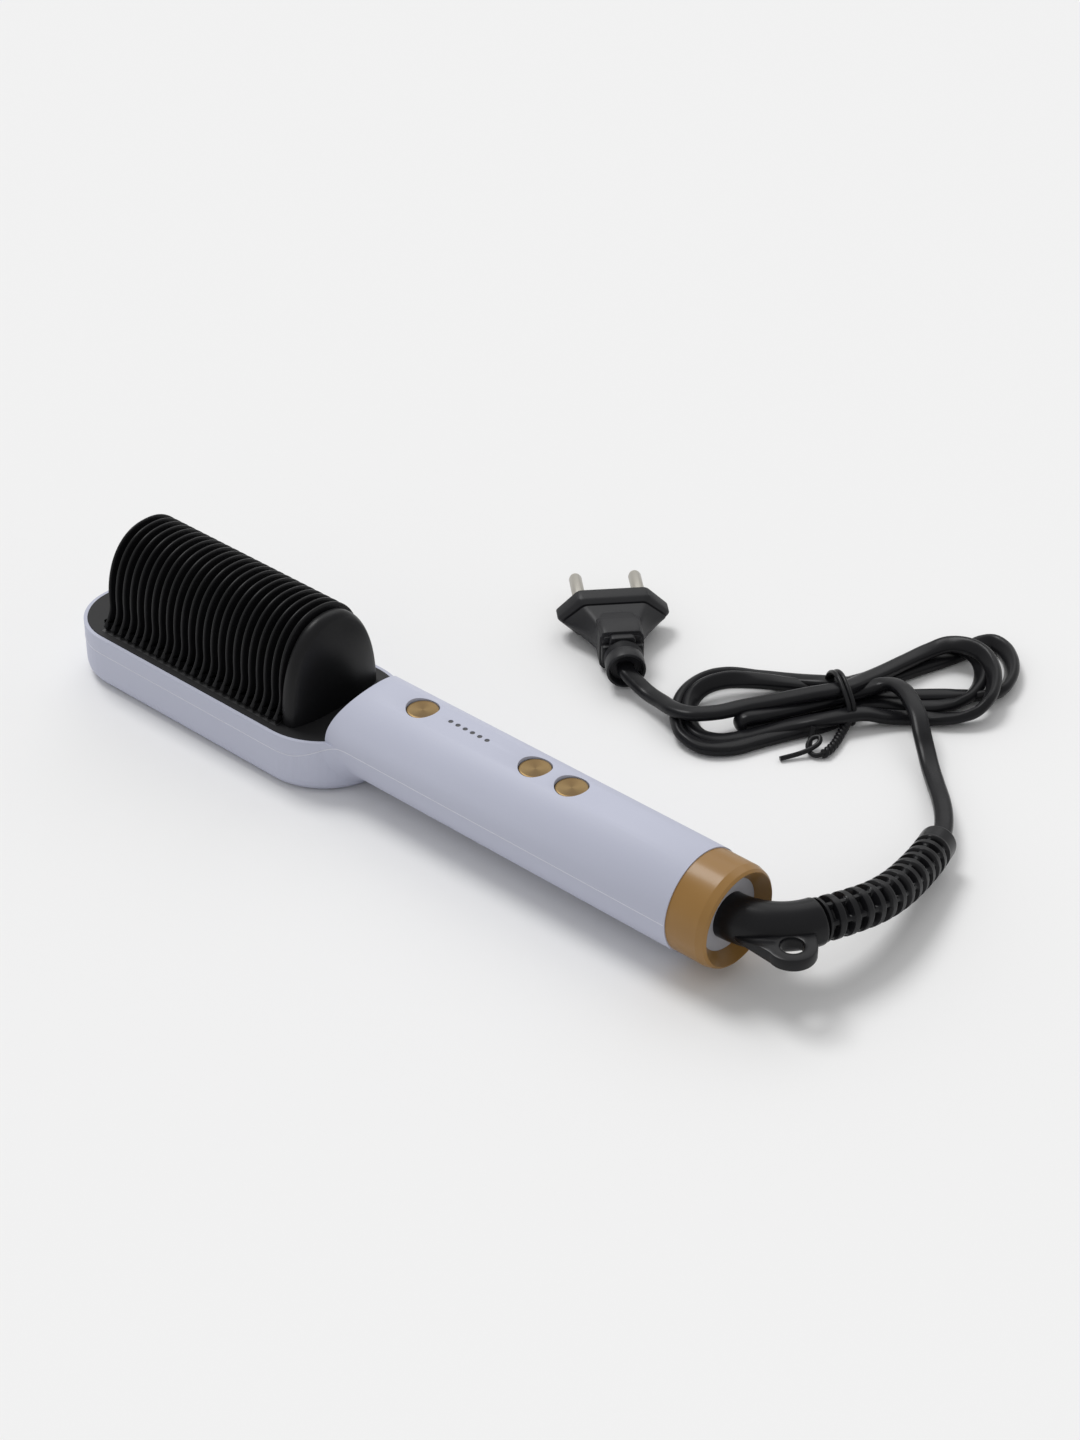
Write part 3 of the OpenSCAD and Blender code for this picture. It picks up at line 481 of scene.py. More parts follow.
# a fourth value turns the flat section on edge, in degrees
cordPoints = [
    # free stretch
    (23.6, 73.6, 7.6), (20.6, 80, 6.6), (16.2, 86.4, 6), (11, 92.4, 5.4), (5, 98.5, 4.4),
    (-1.2, 104.5, 4.2), (-6.4, 109.4, 5.4), (-10.8, 113.2, 7.4), (-15.1, 117.3, 8.9), (-20.8, 121.8, 9.3),
    (-26.8, 125.7, 8.9), (-31.5, 127.3, 7.9), (-35.1, 126.3, 6.8), (-37.6, 122.4, 6), (-40, 118.3, 5.4),
    # folded bight at the left end
    (-44.6, 108, 5.1), (-49, 99, 5.1), (-53, 91.8, 5.2), (-55.3, 87.9, 5.2), (-55.9, 86.8, 4.7),
    (-56.1, 86.4, 3.5), (-55.9, 86.8, 2.3), (-55.3, 87.9, 1.8), (-53.4, 92.4, 1.8), (-49.6, 101.4, 1.8),
    (-43, 114.5, 1.8),
    # outer right loop
    (-38.3, 121.7, 1.8), (-33.1, 128.6, 1.8), (-27.3, 134.9, 1.8), (-22.4, 139.6, 1.8), (-17.3, 144, 2, 14),
    (-12.3, 147.6, 2.5, 40), (-10.1, 152.2, 2.7, 55), (-11.1, 157.8, 2.7, 55), (-13.7, 163.4, 2.7, 55),
    (-17.8, 168.5, 2.7, 55), (-22.9, 172.2, 2.7, 50), (-27.1, 172.9, 2.6, 45), (-29.6, 170.2, 2.4, 30),
    (-31.1, 164, 2, 8), (-33.2, 156.5, 1.8), (-35.5, 149.6, 1.8), (-37.4, 143.5, 1.9), (-39, 137.1, 2.2),
    (-40, 128.7, 3.6),
    # outer left loop
    (-50.4, 119.3, 4.2), (-60.5, 115.8, 2.2), (-68.2, 111.2, 1.9, 8), (-76.2, 104.7, 2.4, 28),
    (-79, 97.9, 2.7, 50), (-78.7, 89.5, 2.7, 55), (-75.4, 81.6, 2.7, 55), (-70.6, 75.6, 2.7, 45),
    (-64.6, 71.6, 2.4, 28), (-57.4, 71.7, 2, 8), (-51.8, 76.7, 1.8), (-47.8, 85.6, 1.8), (-43.8, 94.6, 1.8),
    (-39, 104.6, 1.8), (-37.6, 112, 1.8),
    # second right loop
    (-37.4, 119.6, 1.8), (-34.6, 122.2, 1.8), (-26.6, 128.2, 1.8), (-21.3, 132.4, 1.8),
    (-18.1, 136.4, 2, 12), (-15.5, 141.5, 2.6, 40), (-15.9, 147.8, 2.8, 50), (-17.9, 153.4, 3, 50),
    (-21, 158, 3.6, 50), (-24.7, 160.7, 4.4, 45), (-29.7, 161.7, 4.6, 35), (-35, 160.4, 3.8, 20),
    (-38.5, 156.1, 2.5, 8), (-40.6, 147.4, 1.9), (-42.4, 139.1, 1.9), (-43.8, 133.1, 1.9),
    # inner left loop
    (-50.7, 119.9, 1.8), (-58.4, 113, 3), (-64.9, 106.8, 4.4, 12), (-72.2, 99.6, 5, 45),
    (-75.1, 93.1, 4.6, 55), (-75.2, 88, 3.4, 55), (-72.3, 82.6, 2.9, 50), (-67.4, 77.6, 2.7, 35),
    (-62.4, 75.3, 2.3, 16), (-57.2, 76.8, 1.9), (-53, 81.7, 1.9), (-49, 89.1, 2.2), (-44, 96.7, 3.2),
    (-38.1, 103.2, 4.6),
    # top right loop
    (-31.9, 113, 4.6), (-27.6, 118.1, 3), (-20.4, 125.3, 2), (-13.4, 130.4, 2.4, 20),
    (-8.5, 136.3, 3.6, 45), (-7.8, 141.7, 5.2, 55), (-10.9, 149.5, 5.8, 55), (-16, 156, 6.4, 55),
    (-21.9, 159.6, 7.2, 50), (-27.4, 159.6, 7.6, 40), (-33.1, 157.4, 6.8, 25), (-36.2, 152.5, 5.6, 8),
    (-38.2, 143.7, 5.3), (-39.5, 134, 5.6), (-40.1, 125.1, 6.8),
    # last stretch, over the hank and into the plug
    (-40.5, 115.7, 8.4), (-46, 107, 8.2), (-51.4, 99.7, 7.4), (-57.5, 91.3, 6.6), (-61.7, 82.6, 6.8),
    (-66.5, 76.6, 7.2), (-72.3, 75.9, 6.4), (-78.8, 77.8, 5.2), (-85.5, 79.4, 4.6), (-90.5, 80.2, 5.6),
    (-95.4, 81.3, 6.85), (-97.3, 83, 6.85)]


def cordTurns(points, step):
    turns = []
    for a, b in zip(points, points[1:]):
        first, second = (point[3] if len(point) > 3 else 0.0 for point in (a, b))
        n = pathSteps(a, b, step)
        turns += [math.radians(first + (second - first) * ramp(k / n, 0, 1)) for k in range(n)]
    return turns + [0.0]


cordPath = smoothPath(cordPoints, cordLook["step"])
cordRoll = cordTurns(cordPoints, cordLook["step"])
flatSection = squircle(cordLook["halfWidth"], cordLook["halfThick"], cordLook["power"], cordLook["sides"])


def cordSection(i, count):
    c, n = math.cos(cordRoll[i]), math.sin(cordRoll[i])
    return [(across * c - high * n, across * n + high * c) for across, high in flatSection]


cordMesh = sweep(cordPath, cordSection)
flatCord = addPiece("flatCord", *cordMesh, "cordRubber", "swivel", "cord_rubber", sharp=60)
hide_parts("cord_run", "cord_hank")
print("cord laid, mm:", round(sum((b - a).length for a, b in zip(cordPath, cordPath[1:])), 1))


# Ribbed strain relief with staggered windows

relief = {
    "rib": 6.1, "ribEnd": 5.3, "ribs": 13, "ridge": (-0.35, 0.25), "window": 2.1, "notch": 0.55,
    "webs": 6, "webHalf": 9, "webSoft": 4, "phase": 20, "twist": 22, "twistFrom": 0.45,
    "collar": 5.3, "collarAt": 0.9, "mouth": 1.2, "mouthFrom": 0.985, "sides": 96, "step": 0.28}
reliefPoints = [
    (27.79, 13.16, 17.7), (30.6, 23.2, 16.4), (31.7, 33.6, 14.3), (31, 43.8, 12.3),
    (29.1, 53.9, 10.5), (26.6, 63.9, 8.9), (23.6, 73.6, 7.6)]
reliefPath = smoothPath(reliefPoints, relief["step"])


def reliefSection(i, count):
    u = i / (count - 1)
    turn = u / relief["collarAt"] * relief["ribs"]
    outer = relief["rib"] + (relief["ribEnd"] - relief["rib"]) * u
    ridge = ramp(math.cos(2 * math.pi * turn), *relief["ridge"])
    pitch = 360 / relief["webs"]
    phase = relief["phase"] + relief["twist"] * ramp(u, relief["twistFrom"], 1)
    webFrom, webTo = relief["webHalf"] - relief["webSoft"], relief["webHalf"] + relief["webSoft"]
    points = []
    for k in range(relief["sides"]):
        degrees = 360 * k / relief["sides"]
        away = abs((degrees - phase + pitch / 2) % pitch - pitch / 2)
        web = 1 - ramp(away, webFrom, webTo)
        radius = outer - (1 - ridge) * (relief["notch"] * web + relief["window"] * (1 - web))
        if u > relief["collarAt"]:
            radius = relief["collar"] - relief["mouth"] * ramp(u, relief["mouthFrom"], 1)
        angle = math.radians(degrees)
        points.append((radius * math.cos(angle), radius * math.sin(angle)))
    return points


reliefMesh = sweep(reliefPath, reliefSection)
strainRelief = addPiece("strainReliefRibs", *reliefMesh, "blackPlastic", "swivel", "cord_rubber", sharp=50)
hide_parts("strain_relief")


# Swivel elbow: grooved stub, bend and the tab with its hanging eye

elbow = {
    "radius": 6.5, "tail": 5.0, "tailFrom": -19, "tailEdge": 0.4, "stubFrom": -6.5, "stubEdge": 0.3,
    "groove": (-5.3, -4.1), "grooveRadius": 5.5, "bendFrom": 9, "bend": 20, "angle": 70, "bendSteps": 30,
    "lipFrom": 0.7, "lip": ((0.35, 0.1), (0.1, 0.35), (0, 0.7)), "sides": 64,
    "eye": (30.472, -0.736), "hole": 3.2, "lobe": 6.6, "tabTop": 19.5, "tabLow": 15.9, "tabSteps": 120,
    "corners": ((35.53, 3.51), (27.34, 12.02), (13, -1), (15.5, -5.9), (28.2, -6.94)),
    "shoulder": 17.4, "shoulderAt": 26.5, "shoulderRun": 11, "soft": 0.5, "rimWidth": 1}


def elbowRing(s, radius):
    turn = max(0.0, s - elbow["bendFrom"]) / elbow["bend"]
    x = min(s, elbow["bendFrom"]) + elbow["bend"] * math.sin(turn)
    y = elbow["bend"] * (1 - math.cos(turn))
    ring = []
    for across, high in roundSection(radius, elbow["sides"]):
        ring.append((x - across * math.sin(turn), y + across * math.cos(turn), axisZ + high))
    return ring


def elbowTube():
    r, tail, tailFrom, tailEdge = elbow["radius"], elbow["tail"], elbow["tailFrom"], elbow["tailEdge"]
    stubFrom, stubEdge, bendFrom = elbow["stubFrom"], elbow["stubEdge"], elbow["bendFrom"]
    (grooveFrom, grooveTo), deep = elbow["groove"], elbow["grooveRadius"]
    end = bendFrom + elbow["bend"] * math.radians(elbow["angle"])
    run = end - elbow["lipFrom"] - bendFrom
    steps = elbow["bendSteps"]
    rows = [
        (tailFrom, tail - tailEdge), (tailFrom + tailEdge, tail), (stubFrom, tail), (stubFrom, r - stubEdge),
        (stubFrom + stubEdge, r), (grooveFrom, r), (grooveFrom, deep), (grooveTo, deep), (grooveTo, r)]
    rows += [(bendFrom + run * k / steps, r) for k in range(steps + 1)]
    rows += [(end - back, r - drop) for back, drop in elbow["lip"]]
    return loft([elbowRing(s, radius) for s, radius in rows])


def tabReach(angle):
    # distance from the eye's centre to the tab's outline
    eyeX, eyeY = elbow["eye"]
    dx, dy = math.cos(angle), math.sin(angle)
    reach = elbow["lobe"]
    for (ax, ay), (bx, by) in zip(elbow["corners"], elbow["corners"][1:]):
        ex, ey = bx - ax, by - ay
        cross = dx * ey - dy * ex
        if abs(cross) > 1e-9:
            t = ((ax - eyeX) * ey - (ay - eyeY) * ex) / cross
            along = ((ax - eyeX) * dy - (ay - eyeY) * dx) / cross
            if t > 0 and -1e-6 <= along <= 1 + 1e-6:
                reach = max(reach, t)
    return reach


def elbowTab():
    eyeX, eyeY = elbow["eye"]
    low, rim, hole, soft = elbow["tabLow"], elbow["tabTop"], elbow["hole"], elbow["soft"]
    near = soft * softShare
    rings = []
    for k in range(elbow["tabSteps"]):
        angle = 2 * math.pi * k / elbow["tabSteps"]
        reach = tabReach(angle)
        fall = ramp(elbow["shoulderAt"] - eyeX - reach * math.cos(angle), 0, elbow["shoulderRun"])
        top = rim - (rim - elbow["shoulder"]) * fall
        profile = [
            (hole + soft, low), (reach - soft, low), (reach - near, low + near), (reach, low + soft),
            (reach, top - soft), (reach - near, top - near), (reach - soft, top),
            (hole + soft + elbow["rimWidth"], rim), (hole + soft, rim), (hole + near, rim - near),
            (hole, rim - soft), (hole, low + soft), (hole + near, low + near)]
        rings.append([(eyeX + out * math.cos(angle), eyeY + out * math.sin(angle), z) for out, z in profile])
    return loft(rings, wrapped=True)


elbowMesh = merge(elbowTube(), elbowTab())
elbowPiece = addPiece("elbowWithEye", *elbowMesh, "blackPlastic", "swivel", "black_plastic", sharp=40)
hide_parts("swivel_elbow")


# Wire tie around the middle of the hank: hoop, twisted tail and a curl

tie = {
    "wire": 0.75, "sides": 10, "step": 0.6, "twist": 0.72, "pitch": 3.4, "twistStep": 0.35,
    "at": (-41.9, 114.6), "along": (0.54, 0.84), "across": (0.843, -0.538), "turnGap": 1.5}
# the hoop across the hank, as places along "across" and heights
hoopShape = [
    (-9.3, 2.2), (-9.6, 5.2), (-7.8, 8.6), (-4.4, 10.9), (-0.8, 11.4), (3, 10.4), (6, 9.1), (8.8, 7.2),
    (9.6, 4.2), (9, 1.4), (6, 0.76), (0, 0.76), (-6, 0.76), (-9.3, 2.2)]


def wireTube(points):
    path = smoothPath(points, tie["step"])
    section = roundSection(tie["wire"], tie["sides"])
    return sweep(path, lambda i, n: section)


def twisted(points, phase):
    path = smoothPath(points, tie["twistStep"])
    out, travelled = [], 0.0
    for i, (point, (side, up)) in enumerate(zip(path, pathFrames(path))):
        if i:
            travelled += (path[i] - path[i - 1]).length
        angle = phase + 2 * math.pi * travelled / tie["pitch"]
        out.append(point + side * tie["twist"] * math.cos(angle) + up * tie["twist"] * math.sin(angle))
    section = roundSection(tie["wire"], tie["sides"])
    return sweep(out, lambda i, n: section)


def hoop(shift):
    (x, y), (alongX, alongY) = tie["at"], tie["along"]
    centre, across = Vector((x + shift * alongX, y + shift * alongY, 0)), Vector((*tie["across"], 0))
    return [centre + across * v + Vector((0, 0, z)) for v, z in hoopShape]


tailPath = [
    (-34, 109.6, 3.6), (-33.2, 106.4, 2.4), (-32, 102.4, 1.7), (-30.8, 98.6, 1.6), (-30.2, 95, 1.6),
    (-30.2, 92.4, 1.6)]
curlPath = [
    (-30.4, 92.6, 1.6), (-31.6, 91, 1.2), (-33.9, 91, 1.4), (-35.7, 92.4, 2.4), (-35.8, 94.6, 3.6),
    (-34.2, 95.6, 4.2), (-33, 94.2, 3.6), (-33.6, 91.6, 2.6), (-35.4, 88.4, 1.6), (-38.6, 83.1, 0.9)]
endPath = [(-33.9, 91, 1.4), (-35.8, 93.4, 2.2), (-36.8, 95.4, 4.2), (-37.3, 96.4, 6)]
knotPath = [
    (-35.6, 112.2, 5.6), (-34, 110.4, 5.4), (-32.8, 108.4, 4.2), (-33.8, 107, 3), (-35.4, 108.4, 2.8),
    (-34.6, 110.6, 3.6)]
tieMesh = merge(
    wireTube(hoop(0)), wireTube(hoop(tie["turnGap"])), twisted(tailPath, 0), twisted(tailPath, math.pi),
    wireTube(curlPath), wireTube(endPath), wireTube(knotPath))
wireTie = addPiece("wireTie", *tieMesh, "tiePlastic", "swivel", "tie_plastic", sharp=60)
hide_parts("twist_tie")


# Plug: its own X runs along the pins, Y across them

plug = {
    "at": Vector((-122.2, 105.4, 6.85)), "turn": 138, "halfWidth": 17.65, "halfTop": 10.5, "halfHeight": 6.85,
    "neckHalf": 6.3, "neckHeight": 6.2, "neck": 27, "blockPower": 9, "blockSides": 40,
    "grommet": 6, "grommetLength": 9, "grommetCore": (2.8, 1), "grommetSides": 56,
    "pin": 2, "pinLength": 19, "pinGap": 18.6, "pinSides": 32}
# along the plug, then how much narrower at the middle, at the top and in height, and the corners' softness
plugSteps = [
    (0, 2.2, 1.4, 1.1, 1.2), (0, 0.5, 0.4, 0.35, 1.2), (-0.4, 0, 0, 0, 1.2), (-4.6, 0, 0, 0, 1.2),
    (-5.4, 0.35, 0.3, 0.35, 1.2), (-6.5, 1.1, 0.9, 1.25, 1.2), (-6.6, 2, 1.6, 2.1, 1.2),
    (-7.4, 2, 1.7, 2.1, 1.2), (-7.5, 1.5, 1.2, 1.3, 1.2), (-9, 2.9, 1.5, 1.35, 1.3),
    (-11.4, 5.2, 2.2, 1.55, 1.5), (-14, 7.4, 3, 1.9, 1.5), (-17, 9.3, 3.9, 2.3, 1.3),
    (-20, 10.6, 4.6, 2.8, 1), (-23, 11.2, 5, 3.2, 0.8)]
# blocks on the neck: from, to, wider and higher than the neck, edge
neckBlocks = [
    (-24.4, -16.8, 0, 0.4, 0.35), (-24.6, -14.2, 0.5, -0.5, 0.3), (-27, -24, -2.4, -0.3, 0.4),
    (-27, -24, 0, -3.2, 0.4), (-25.2, -10.4, -0.3, -0.9, 0.4)]
slotStarts = (0.6, 3.2)  # behind the neck
# pairs of distance along and how much slimmer
grommetStart = [(1, 0.9), (0, 0.8)]
slotShape = [(0, 0.8), (0.15, 1.7), (0.75, 1.7), (0.9, 0.2), (1.2, 0.05)]
grommetEnd = [(0.5, 0), (0.1, 0.15), (0, 0.45), (0, 0.75), (0.3, 1), (2.6, 1.3)]
pinRoot = [(-6, 0.5), (-0.1, 0.5), (0, 0.12), (0.2, 0)]
pinTip = [(1.9, 1), (1, 0.86), (0.35, 0.58), (0, 0.18)]  # distance from the tip, share of the radius


def onPlug(x, y, z):
    turn = math.radians(plug["turn"])
    c, s = math.cos(turn), math.sin(turn)
    return plug["at"] + Vector((x * c - y * s, x * s + y * c, z))


def hexRing(x, halfWidth, halfTop, halfHeight, soft):
    corners = [
        (halfWidth, 0), (halfTop, halfHeight), (-halfTop, halfHeight),
        (-halfWidth, 0), (-halfTop, -halfHeight), (halfTop, -halfHeight)]
    ring = []
    for i, corner in enumerate(corners):
        here, before, after = Vector(corner), Vector(corners[i - 1]), Vector(corners[(i + 1) % 6])
        a = here + (before - here).normalized() * soft
        b = here + (after - here).normalized() * soft
        for t in (0, 0.25, 0.5, 0.75, 1):
            point = a.lerp(here, t).lerp(here.lerp(b, t), t)
            ring.append(onPlug(x, point[0], point[1]))
    return ring


def plugShell():
    w, t, h = plug["halfWidth"], plug["halfTop"], plug["halfHeight"]
    rings = []
    for x, narrower, slimmer, lower, soft in plugSteps:
        rings.append(hexRing(x, w - narrower, t - slimmer, h - lower, soft))
    return loft(rings)


def neckBlock(x0, x1, wider, higher, edge):
    halfWidth, halfHeight = plug["neckHalf"] + wider, plug["neckHeight"] + higher
    section = squircle(halfWidth, halfHeight, plug["blockPower"], plug["blockSides"])
    near = edge * softShare
    rows = [(x0, edge), (x0 + near, near), (x0 + edge, 0), (x1 - edge, 0), (x1 - near, near), (x1, edge)]
    rings = []
    for x, drawnIn in rows:
        width, height = halfWidth - drawnIn, halfHeight - drawnIn
        rings.append([onPlug(x, y * width / halfWidth, z * height / halfHeight) for y, z in section])
    return loft(rings)


def aboutPlug(along, radius, angle, y=0.0):
    return onPlug(along, y + radius * math.cos(angle), radius * math.sin(angle))


def plugGrommet():
    r, neck, end = plug["grommet"], plug["neck"], -plug["neck"] - plug["grommetLength"]
    coreDeep, coreRadius = plug["grommetCore"]
    profile = [(-neck + along, r - less) for along, less in grommetStart]
    for start in slotStarts:
        slot = neck + start
        profile += [(-slot - along, r - less) for along, less in slotShape]
    profile += [(end + along, r - less) for along, less in grommetEnd]
    profile.append((end + coreDeep, coreRadius))  # closed inside the cord
    return lathe(profile, aboutPlug, plug["grommetSides"])


def plugPin(y):
    r, length = plug["pin"], plug["pinLength"]
    profile = [(x, r - less) for x, less in pinRoot] + [(length - back, r * share) for back, share in pinTip]
    return lathe(profile, lambda along, radius, angle: aboutPlug(along, radius, angle, y), plug["pinSides"])


plugMesh = merge(plugShell(), *[neckBlock(*block) for block in neckBlocks])
plugBody = addPiece("plugShell", *plugMesh, "plugRubber", "swivel", "plug_rubber", sharp=28)
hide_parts("plug_body")
plugCollar = addPiece("plugGrommetRings", *plugGrommet(), "plugRubber", "swivel", "plug_rubber", sharp=35)
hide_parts("plug_grommet")
pinMesh = merge(plugPin(plug["pinGap"] / 2), plugPin(-plug["pinGap"] / 2))
plugPins = addPiece("plugPins", *pinMesh, "pinNickel", "swivel", "pin_nickel")
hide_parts("plug_pins")
print("plug and tie built")


# Comb fins: blades with rounded edges on flared feet

fins = {
    "first": -213.2, "pitch": 3.15, "count": 24, "thick": 1.35, "width": 32.4, "foot": 38, "top": 48.3,
    "power": 2.25, "base": axisZ + 0.2, "tip": axisZ + 1.8, "flare": axisZ + 8.7, "flarePower": 2.1,
    "footInset": 0.8, "footFrom": 16.6, "footGrow": 0.65, "archSteps": 44, "flareSteps": 9,
    "edge": ((1, 3.2), (0.66, 0.8), (0.5, 0.14), (0.3, 0))}  # share of half the thickness, inset in mm


def archPoints(halfWidth, spring, top, steps):
    out = []
    for k in range(1, steps):
        angle = math.pi * k / steps
        c, s = math.cos(angle), math.sin(angle)
        across = math.copysign(halfWidth * abs(c) ** (2 / fins["power"]), c)
        out.append((across, spring + (top - spring) * s ** (2 / fins["power"])))
    return out


def bladeOutline():
    half, foot, flareSteps = fins["width"] / 2, fins["foot"] / 2, fins["flareSteps"]
    right = [(foot - fins["footInset"], fins["base"])]
    for k in range(flareSteps + 1):
        t = k / flareSteps
        across = half + (foot - half) * (1 - t) ** fins["flarePower"]
        right.append((across, fins["tip"] + (fins["flare"] - fins["tip"]) * t))
    arch = archPoints(half, fins["flare"], fins["top"], fins["archSteps"])
    return right + arch + [(-y, z) for y, z in reversed(right)]


def inset(outline, amount):
    out, n = [], len(outline)
    for i, here in enumerate(outline):
        a, b = Vector(outline[i - 1]), Vector(outline[(i + 1) % n])
        along = (b - a).normalized()
        out.append((here[0] - along[1] * amount, here[1] + along[0] * amount))
    return out


def blade(x, outline):
    half = fins["thick"] / 2
    rows = [(half * share, amount) for share, amount in fins["edge"]]
    rows = [(-out, amount) for out, amount in rows] + list(reversed(rows))
    rings = []
    for dx, amount in rows:
        ring = []
        for (y, z), full in zip(inset(outline, amount), outline):
            wide = 1 + fins["footGrow"] * ramp(abs(full[0]), fins["footFrom"], fins["foot"] / 2)
            ring.append((x + dx * wide, y, max(z, fins["base"])))
        rings.append(ring)
    return loft(rings)


finOutline = bladeOutline()
finRow = merge(*[blade(fins["first"] + i * fins["pitch"], finOutline) for i in range(fins["count"])])
combFins = addPiece("combFins", *finRow, "finCoating", "comb", "fin_coating", sharp=50)
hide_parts("comb_fins")


# End guard: a dome with a rolled border

guard = {
    "x": -139, "halfWidth": 17.4, "edge": 3.4, "sag": 2.6, "top": 47.1, "power": 3.2, "border": 2.0,
    "backSoft": 0.25, "backShare": 0.99, "middle": 0.02, "archSteps": 60, "rollSteps": 6, "faceSteps": 14}


def endGuard():
    base, half, x, border = fins["base"], guard["halfWidth"], guard["x"], guard["border"]
    outline = [(half, base)] + archPoints(half, base, guard["top"], guard["archSteps"]) + [(-half, base)]
    borderFrom = 1 - border / (guard["top"] - base)
    rollSteps, faceSteps = guard["rollSteps"], guard["faceSteps"]

    def ring(fraction, place):
        return [(place, y * fraction, base + (z - base) * fraction) for y, z in outline]

    rings = [ring(guard["middle"], x), ring(guard["backShare"], x), ring(1.0, x + guard["backSoft"])]
    quarters = [math.pi / 2 * k / rollSteps for k in range(rollSteps + 1)]
    fractions = [1 - (1 - borderFrom) * (1 - math.cos(angle)) for angle in quarters]
    fractions += [borderFrom * (1 - k / faceSteps) for k in range(1, faceSteps)] + [guard["middle"]]
    for fraction in fractions:
        depth = min(1.0, max(0.0, (fraction - borderFrom) / (1 - borderFrom)))
        roll = border * (1 - math.sqrt(1 - depth * depth))
        sag = guard["sag"] * (1 - fraction ** guard["power"])
        rings.append(ring(fraction, x + guard["edge"] + sag - roll))
    return loft(rings)


combGuard = addPiece("endGuardDome", *endGuard(), "finCoating", "comb", "fin_coating", sharp=50)
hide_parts("end_guard")
print("fins and guard built")


# Push buttons, round their own axes

buttons = {
    "radius": 4.6, "top": 32.0, "sideFrom": 0.4, "flange": 29.41, "flangeRadius": 5.5, "flangeThick": 1,
    "stem": 27.3, "stemRadius": 1.5, "axisHole": 0.05, "sides": 64,
    "at": {"power": ("power_key", -100.2), "minus": ("minus_key", -58.3), "plus": ("plus_key", -45.2)}}
# the dished face: depth below the top, and radius
buttonFace = [(0.2, 0.05), (0.19, 1.2), (0.12, 2.6), (0.05, 3.5), (0, 3.9), (0.02, 4.2), (0.14, 4.45)]


def buttonCap(x):
    r, top, flange, wide = buttons["radius"], buttons["top"], buttons["flange"], buttons["flangeRadius"]
    under, stem, slim = flange - buttons["flangeThick"], buttons["stem"], buttons["stemRadius"]
    profile = [(top - down, radius) for down, radius in buttonFace]
    profile += [
        (top - buttons["sideFrom"], r), (flange, r), (flange, wide), (under, wide), (under, slim),
        (stem, slim), (stem, buttons["axisHole"])]

    def place(along, radius, angle):
        return (x + radius * math.cos(angle), radius * math.sin(angle), along)

    return lathe(profile, place, buttons["sides"])


for key, (body, x) in buttons["at"].items():
    gold = makeSpun(key + "SpunGold", toFrame((x, 0, buttons["top"])))
    cap = addPiece(key + "ButtonCap", *buttonCap(x), gold, body, "spun_gold", sharp=30)
    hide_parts(key + "_button")


# Remaining solids keep their shape and take their finish

nodeFinish = {
    "upper_shell": "paleShell", "lower_shell": "paleShell", "comb_base": "darkDeck",
    "heating_plate": "plateCoating", "heating_element": "ceramic", "insulation_sheet": "mica",
    "element_clamp": "springSteel", "heat_shield": "brightAluminium", "thermistor": "darkBead",
    "thermal_fuse": "brightAluminium", "heater_leads": "redLead", "control_board": "greenBoard",
    "board_screws": "screwSteel", "triac": "blackPlastic", "capacitor": "ochreCase",
    "tact_switches": "blackPlastic", "indicator_leds": "ledBody", "light_guide": "clearPlastic",
    "tail_ring": "amberGold", "end_bush": "greyBush", "swivel_clip": "springSteel",
    "contact_rings": "contactBrass", "contact_brushes": "contactBrass", "brush_holder": "ceramic",
    "mains_leads": "blueLead", "shell_screws": "screwSteel"}

for node, finish in nodeFinish.items():
    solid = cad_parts[node]
    if not solid.material_slots:
        solid.data.materials.append(materials[finish])
    for slot in solid.material_slots:
        slot.material = materials[finish]

# the shells' moulded edges are slightly rounded
shells = [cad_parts[node] for node in ("upper_shell", "lower_shell")]
softEdges = {"width": 0.35, "angle": 38, "segments": 2, "weld": 0.005}
for solid in shells:
    weld = solid.modifiers.new("joinedCorners", "WELD")
    weld.merge_threshold = softEdges["weld"] * mm
    edge = solid.modifiers.new("roundedEdges", "BEVEL")
    edge.width = softEdges["width"] * mm
    edge.segments = softEdges["segments"]
    edge.limit_method = "ANGLE"
    edge.angle_limit = math.radians(softEdges["angle"])
print("solids finished:", len(nodeFinish))


# Fine parting line where the two shells meet, laid on their surface; its pale colour is a painted highlight

seam = {
    "radius": 0.16, "proud": 0.35, "headZ": 12.2, "riseFrom": -133.6, "riseTo": -116, "tipCentre": -205,
    "tailEnd": -0.3, "step": 1.5, "tipSteps": 60, "far": 60, "lifts": (-0.35, 0.35), "sides": 8}
shellTrees = []
for solid in shells:
    corners = [vertex.co.copy() for vertex in solid.data.vertices]
    shellTrees.append(BVHTree.FromPolygons(corners, [tuple(face.vertices) for face in solid.data.polygons]))


def seamHeight(x):
    part = min(1.0, max(0.0, (x - seam["riseFrom"]) / (seam["riseTo"] - seam["riseFrom"])))
    return seam["headZ"] + (axisZ - seam["headZ"]) * (1 - math.cos(math.pi * part)) / 2


def shellHit(point, towards):
    # rays run in just above and below the joint between the shells, and the outermost hit counts
    best = None
    for tree in shellTrees:
        for lift in seam["lifts"]:
            start = toFrame((point[0], point[1], point[2] + lift))
            hit = tree.ray_cast(start, towards)[0]
            if hit is not None and (best is None or (hit - start).length < best):
                best = (hit - start).length
    return best


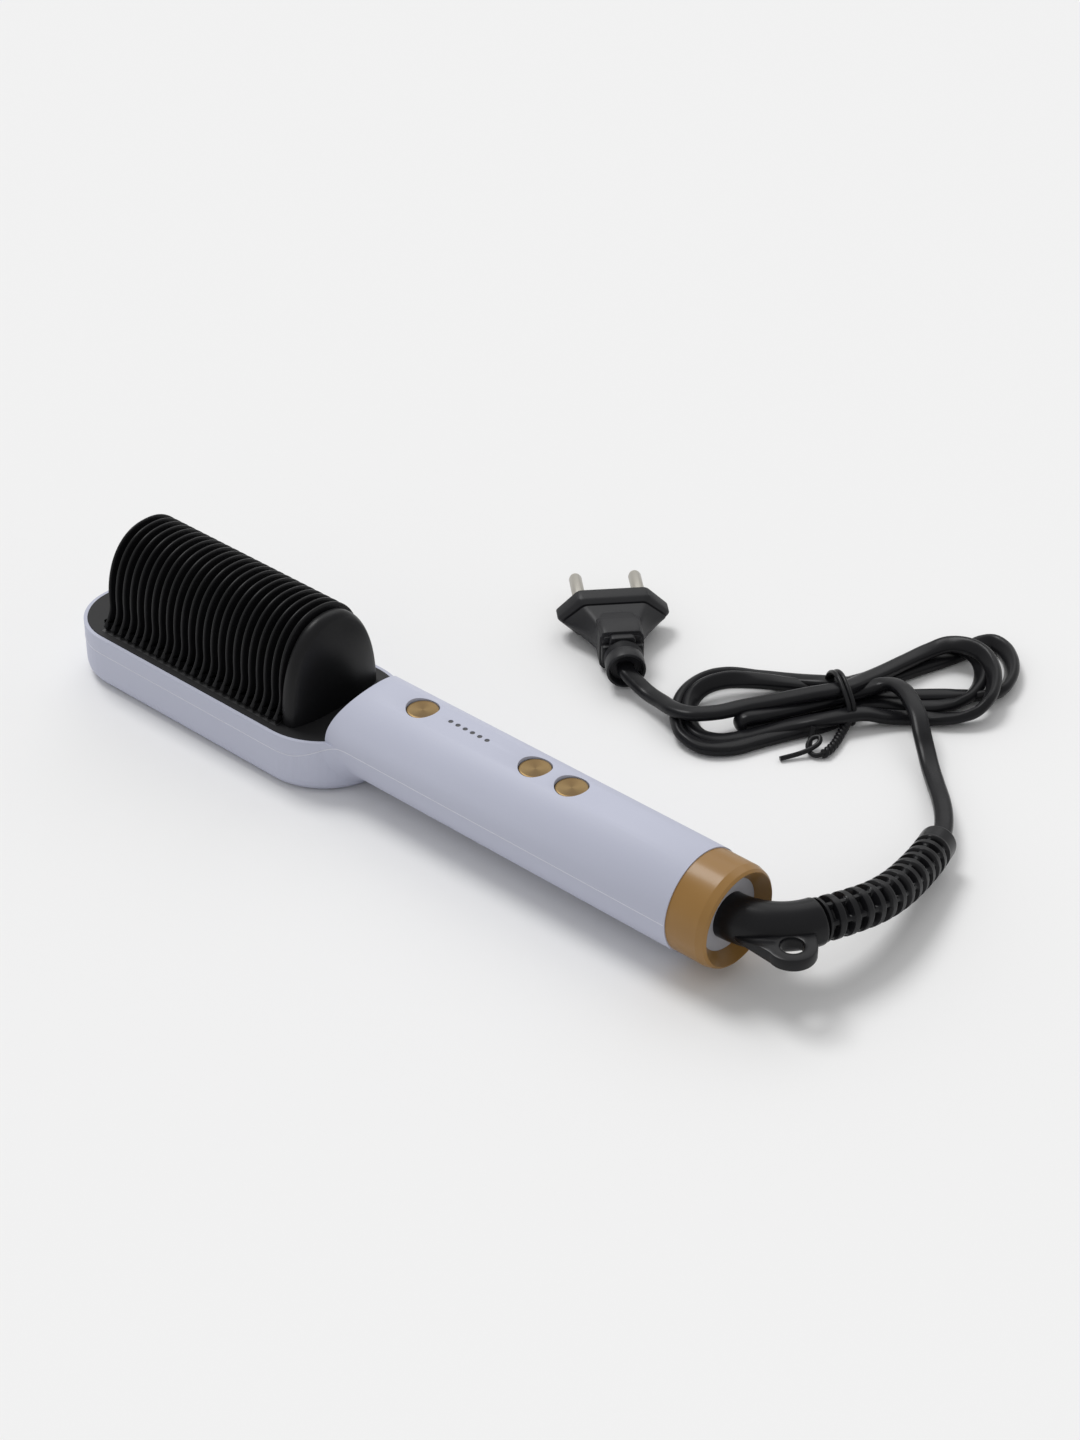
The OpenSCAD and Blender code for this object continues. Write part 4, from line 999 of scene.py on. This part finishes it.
def seamPath():
    rows, far, tipSteps = [], seam["far"], seam["tipSteps"]
    length = seam["tailEnd"] - seam["tipCentre"]
    count = int(length / seam["step"])
    for side in (1, -1):
        row = []
        for k in range(count + 1):
            x = seam["tailEnd"] - length * k / count
            row.append(((x, side * far, seamHeight(x)), Vector((0, -side, 0))))
        rows.append(row)
    tip = []
    for k in range(1, tipSteps):
        angle = math.pi / 2 + math.pi * k / tipSteps
        away = Vector((math.cos(angle), math.sin(angle), 0))
        tip.append(((seam["tipCentre"] + away[0] * far, away[1] * far, seam["headZ"]), -away))
    path = []
    for point, towards in rows[0] + tip + list(reversed(rows[1])):
        reach = shellHit(point, towards)
        if reach is not None:
            path.append(Vector(point) + towards * (reach / mm + seam["radius"] * seam["proud"]))
    return path


seamRoute = seamPath()
seamSection = roundSection(seam["radius"], seam["sides"])
seamMesh = sweep(seamRoute, lambda i, n: seamSection)
# the pale finish on the parting line is a painted highlight
addPiece("partingLine", *seamMesh, "seamEdge", "comb", "pale_shell", sharp=60)
print("parting line laid, points:", len(seamRoute))


# Pale floor and soft lamps

studio = {"floor": (0.855, 0.855, 0.855), "size": 60.0, "world": 0.59}

floorMesh = bpy.data.meshes.new("studioFloor")
half = studio["size"] / 2
floorCorners = [(-half, -half, 0), (half, -half, 0), (half, half, 0), (-half, half, 0)]
floorMesh.from_pydata(floorCorners, [], [(0, 1, 2, 3)])
floor = bpy.data.objects.new("studioFloor", floorMesh)
scene.collection.objects.link(floor)
floorMaterial, tree, shader = startMaterial("studioPaper")
shader.inputs["Base Color"].default_value = (*studio["floor"], 1)
shader.inputs["Roughness"].default_value = 1.0
shader.inputs["Specular IOR Level"].default_value = 0.0
floorMesh.materials.append(floorMaterial)

world = bpy.data.worlds.new("studioWorld")
scene.world = world
world.use_nodes = True
background = world.node_tree.nodes["Background"]
background.inputs["Color"].default_value = (1, 1, 1, 1)
background.inputs["Strength"].default_value = studio["world"]

lamps = {
    "key": {"towards": (0.62, -0.1, -1.0), "strength": 1.36, "spread": 24},
    "back": {"towards": (0.35, -0.75, -0.8), "strength": 0.35, "spread": 40},
}
for name, lamp in lamps.items():
    light = bpy.data.lights.new(name + "Lamp", "SUN")
    light.energy = lamp["strength"]
    light.angle = math.radians(lamp["spread"])
    lampObject = bpy.data.objects.new(name + "Lamp", light)
    lampObject.rotation_euler = Vector(lamp["towards"]).to_track_quat("-Z", "Y").to_euler()
    lampObject.location = (0, 0, 1)
    scene.collection.objects.link(lampObject)
print("studio lit")
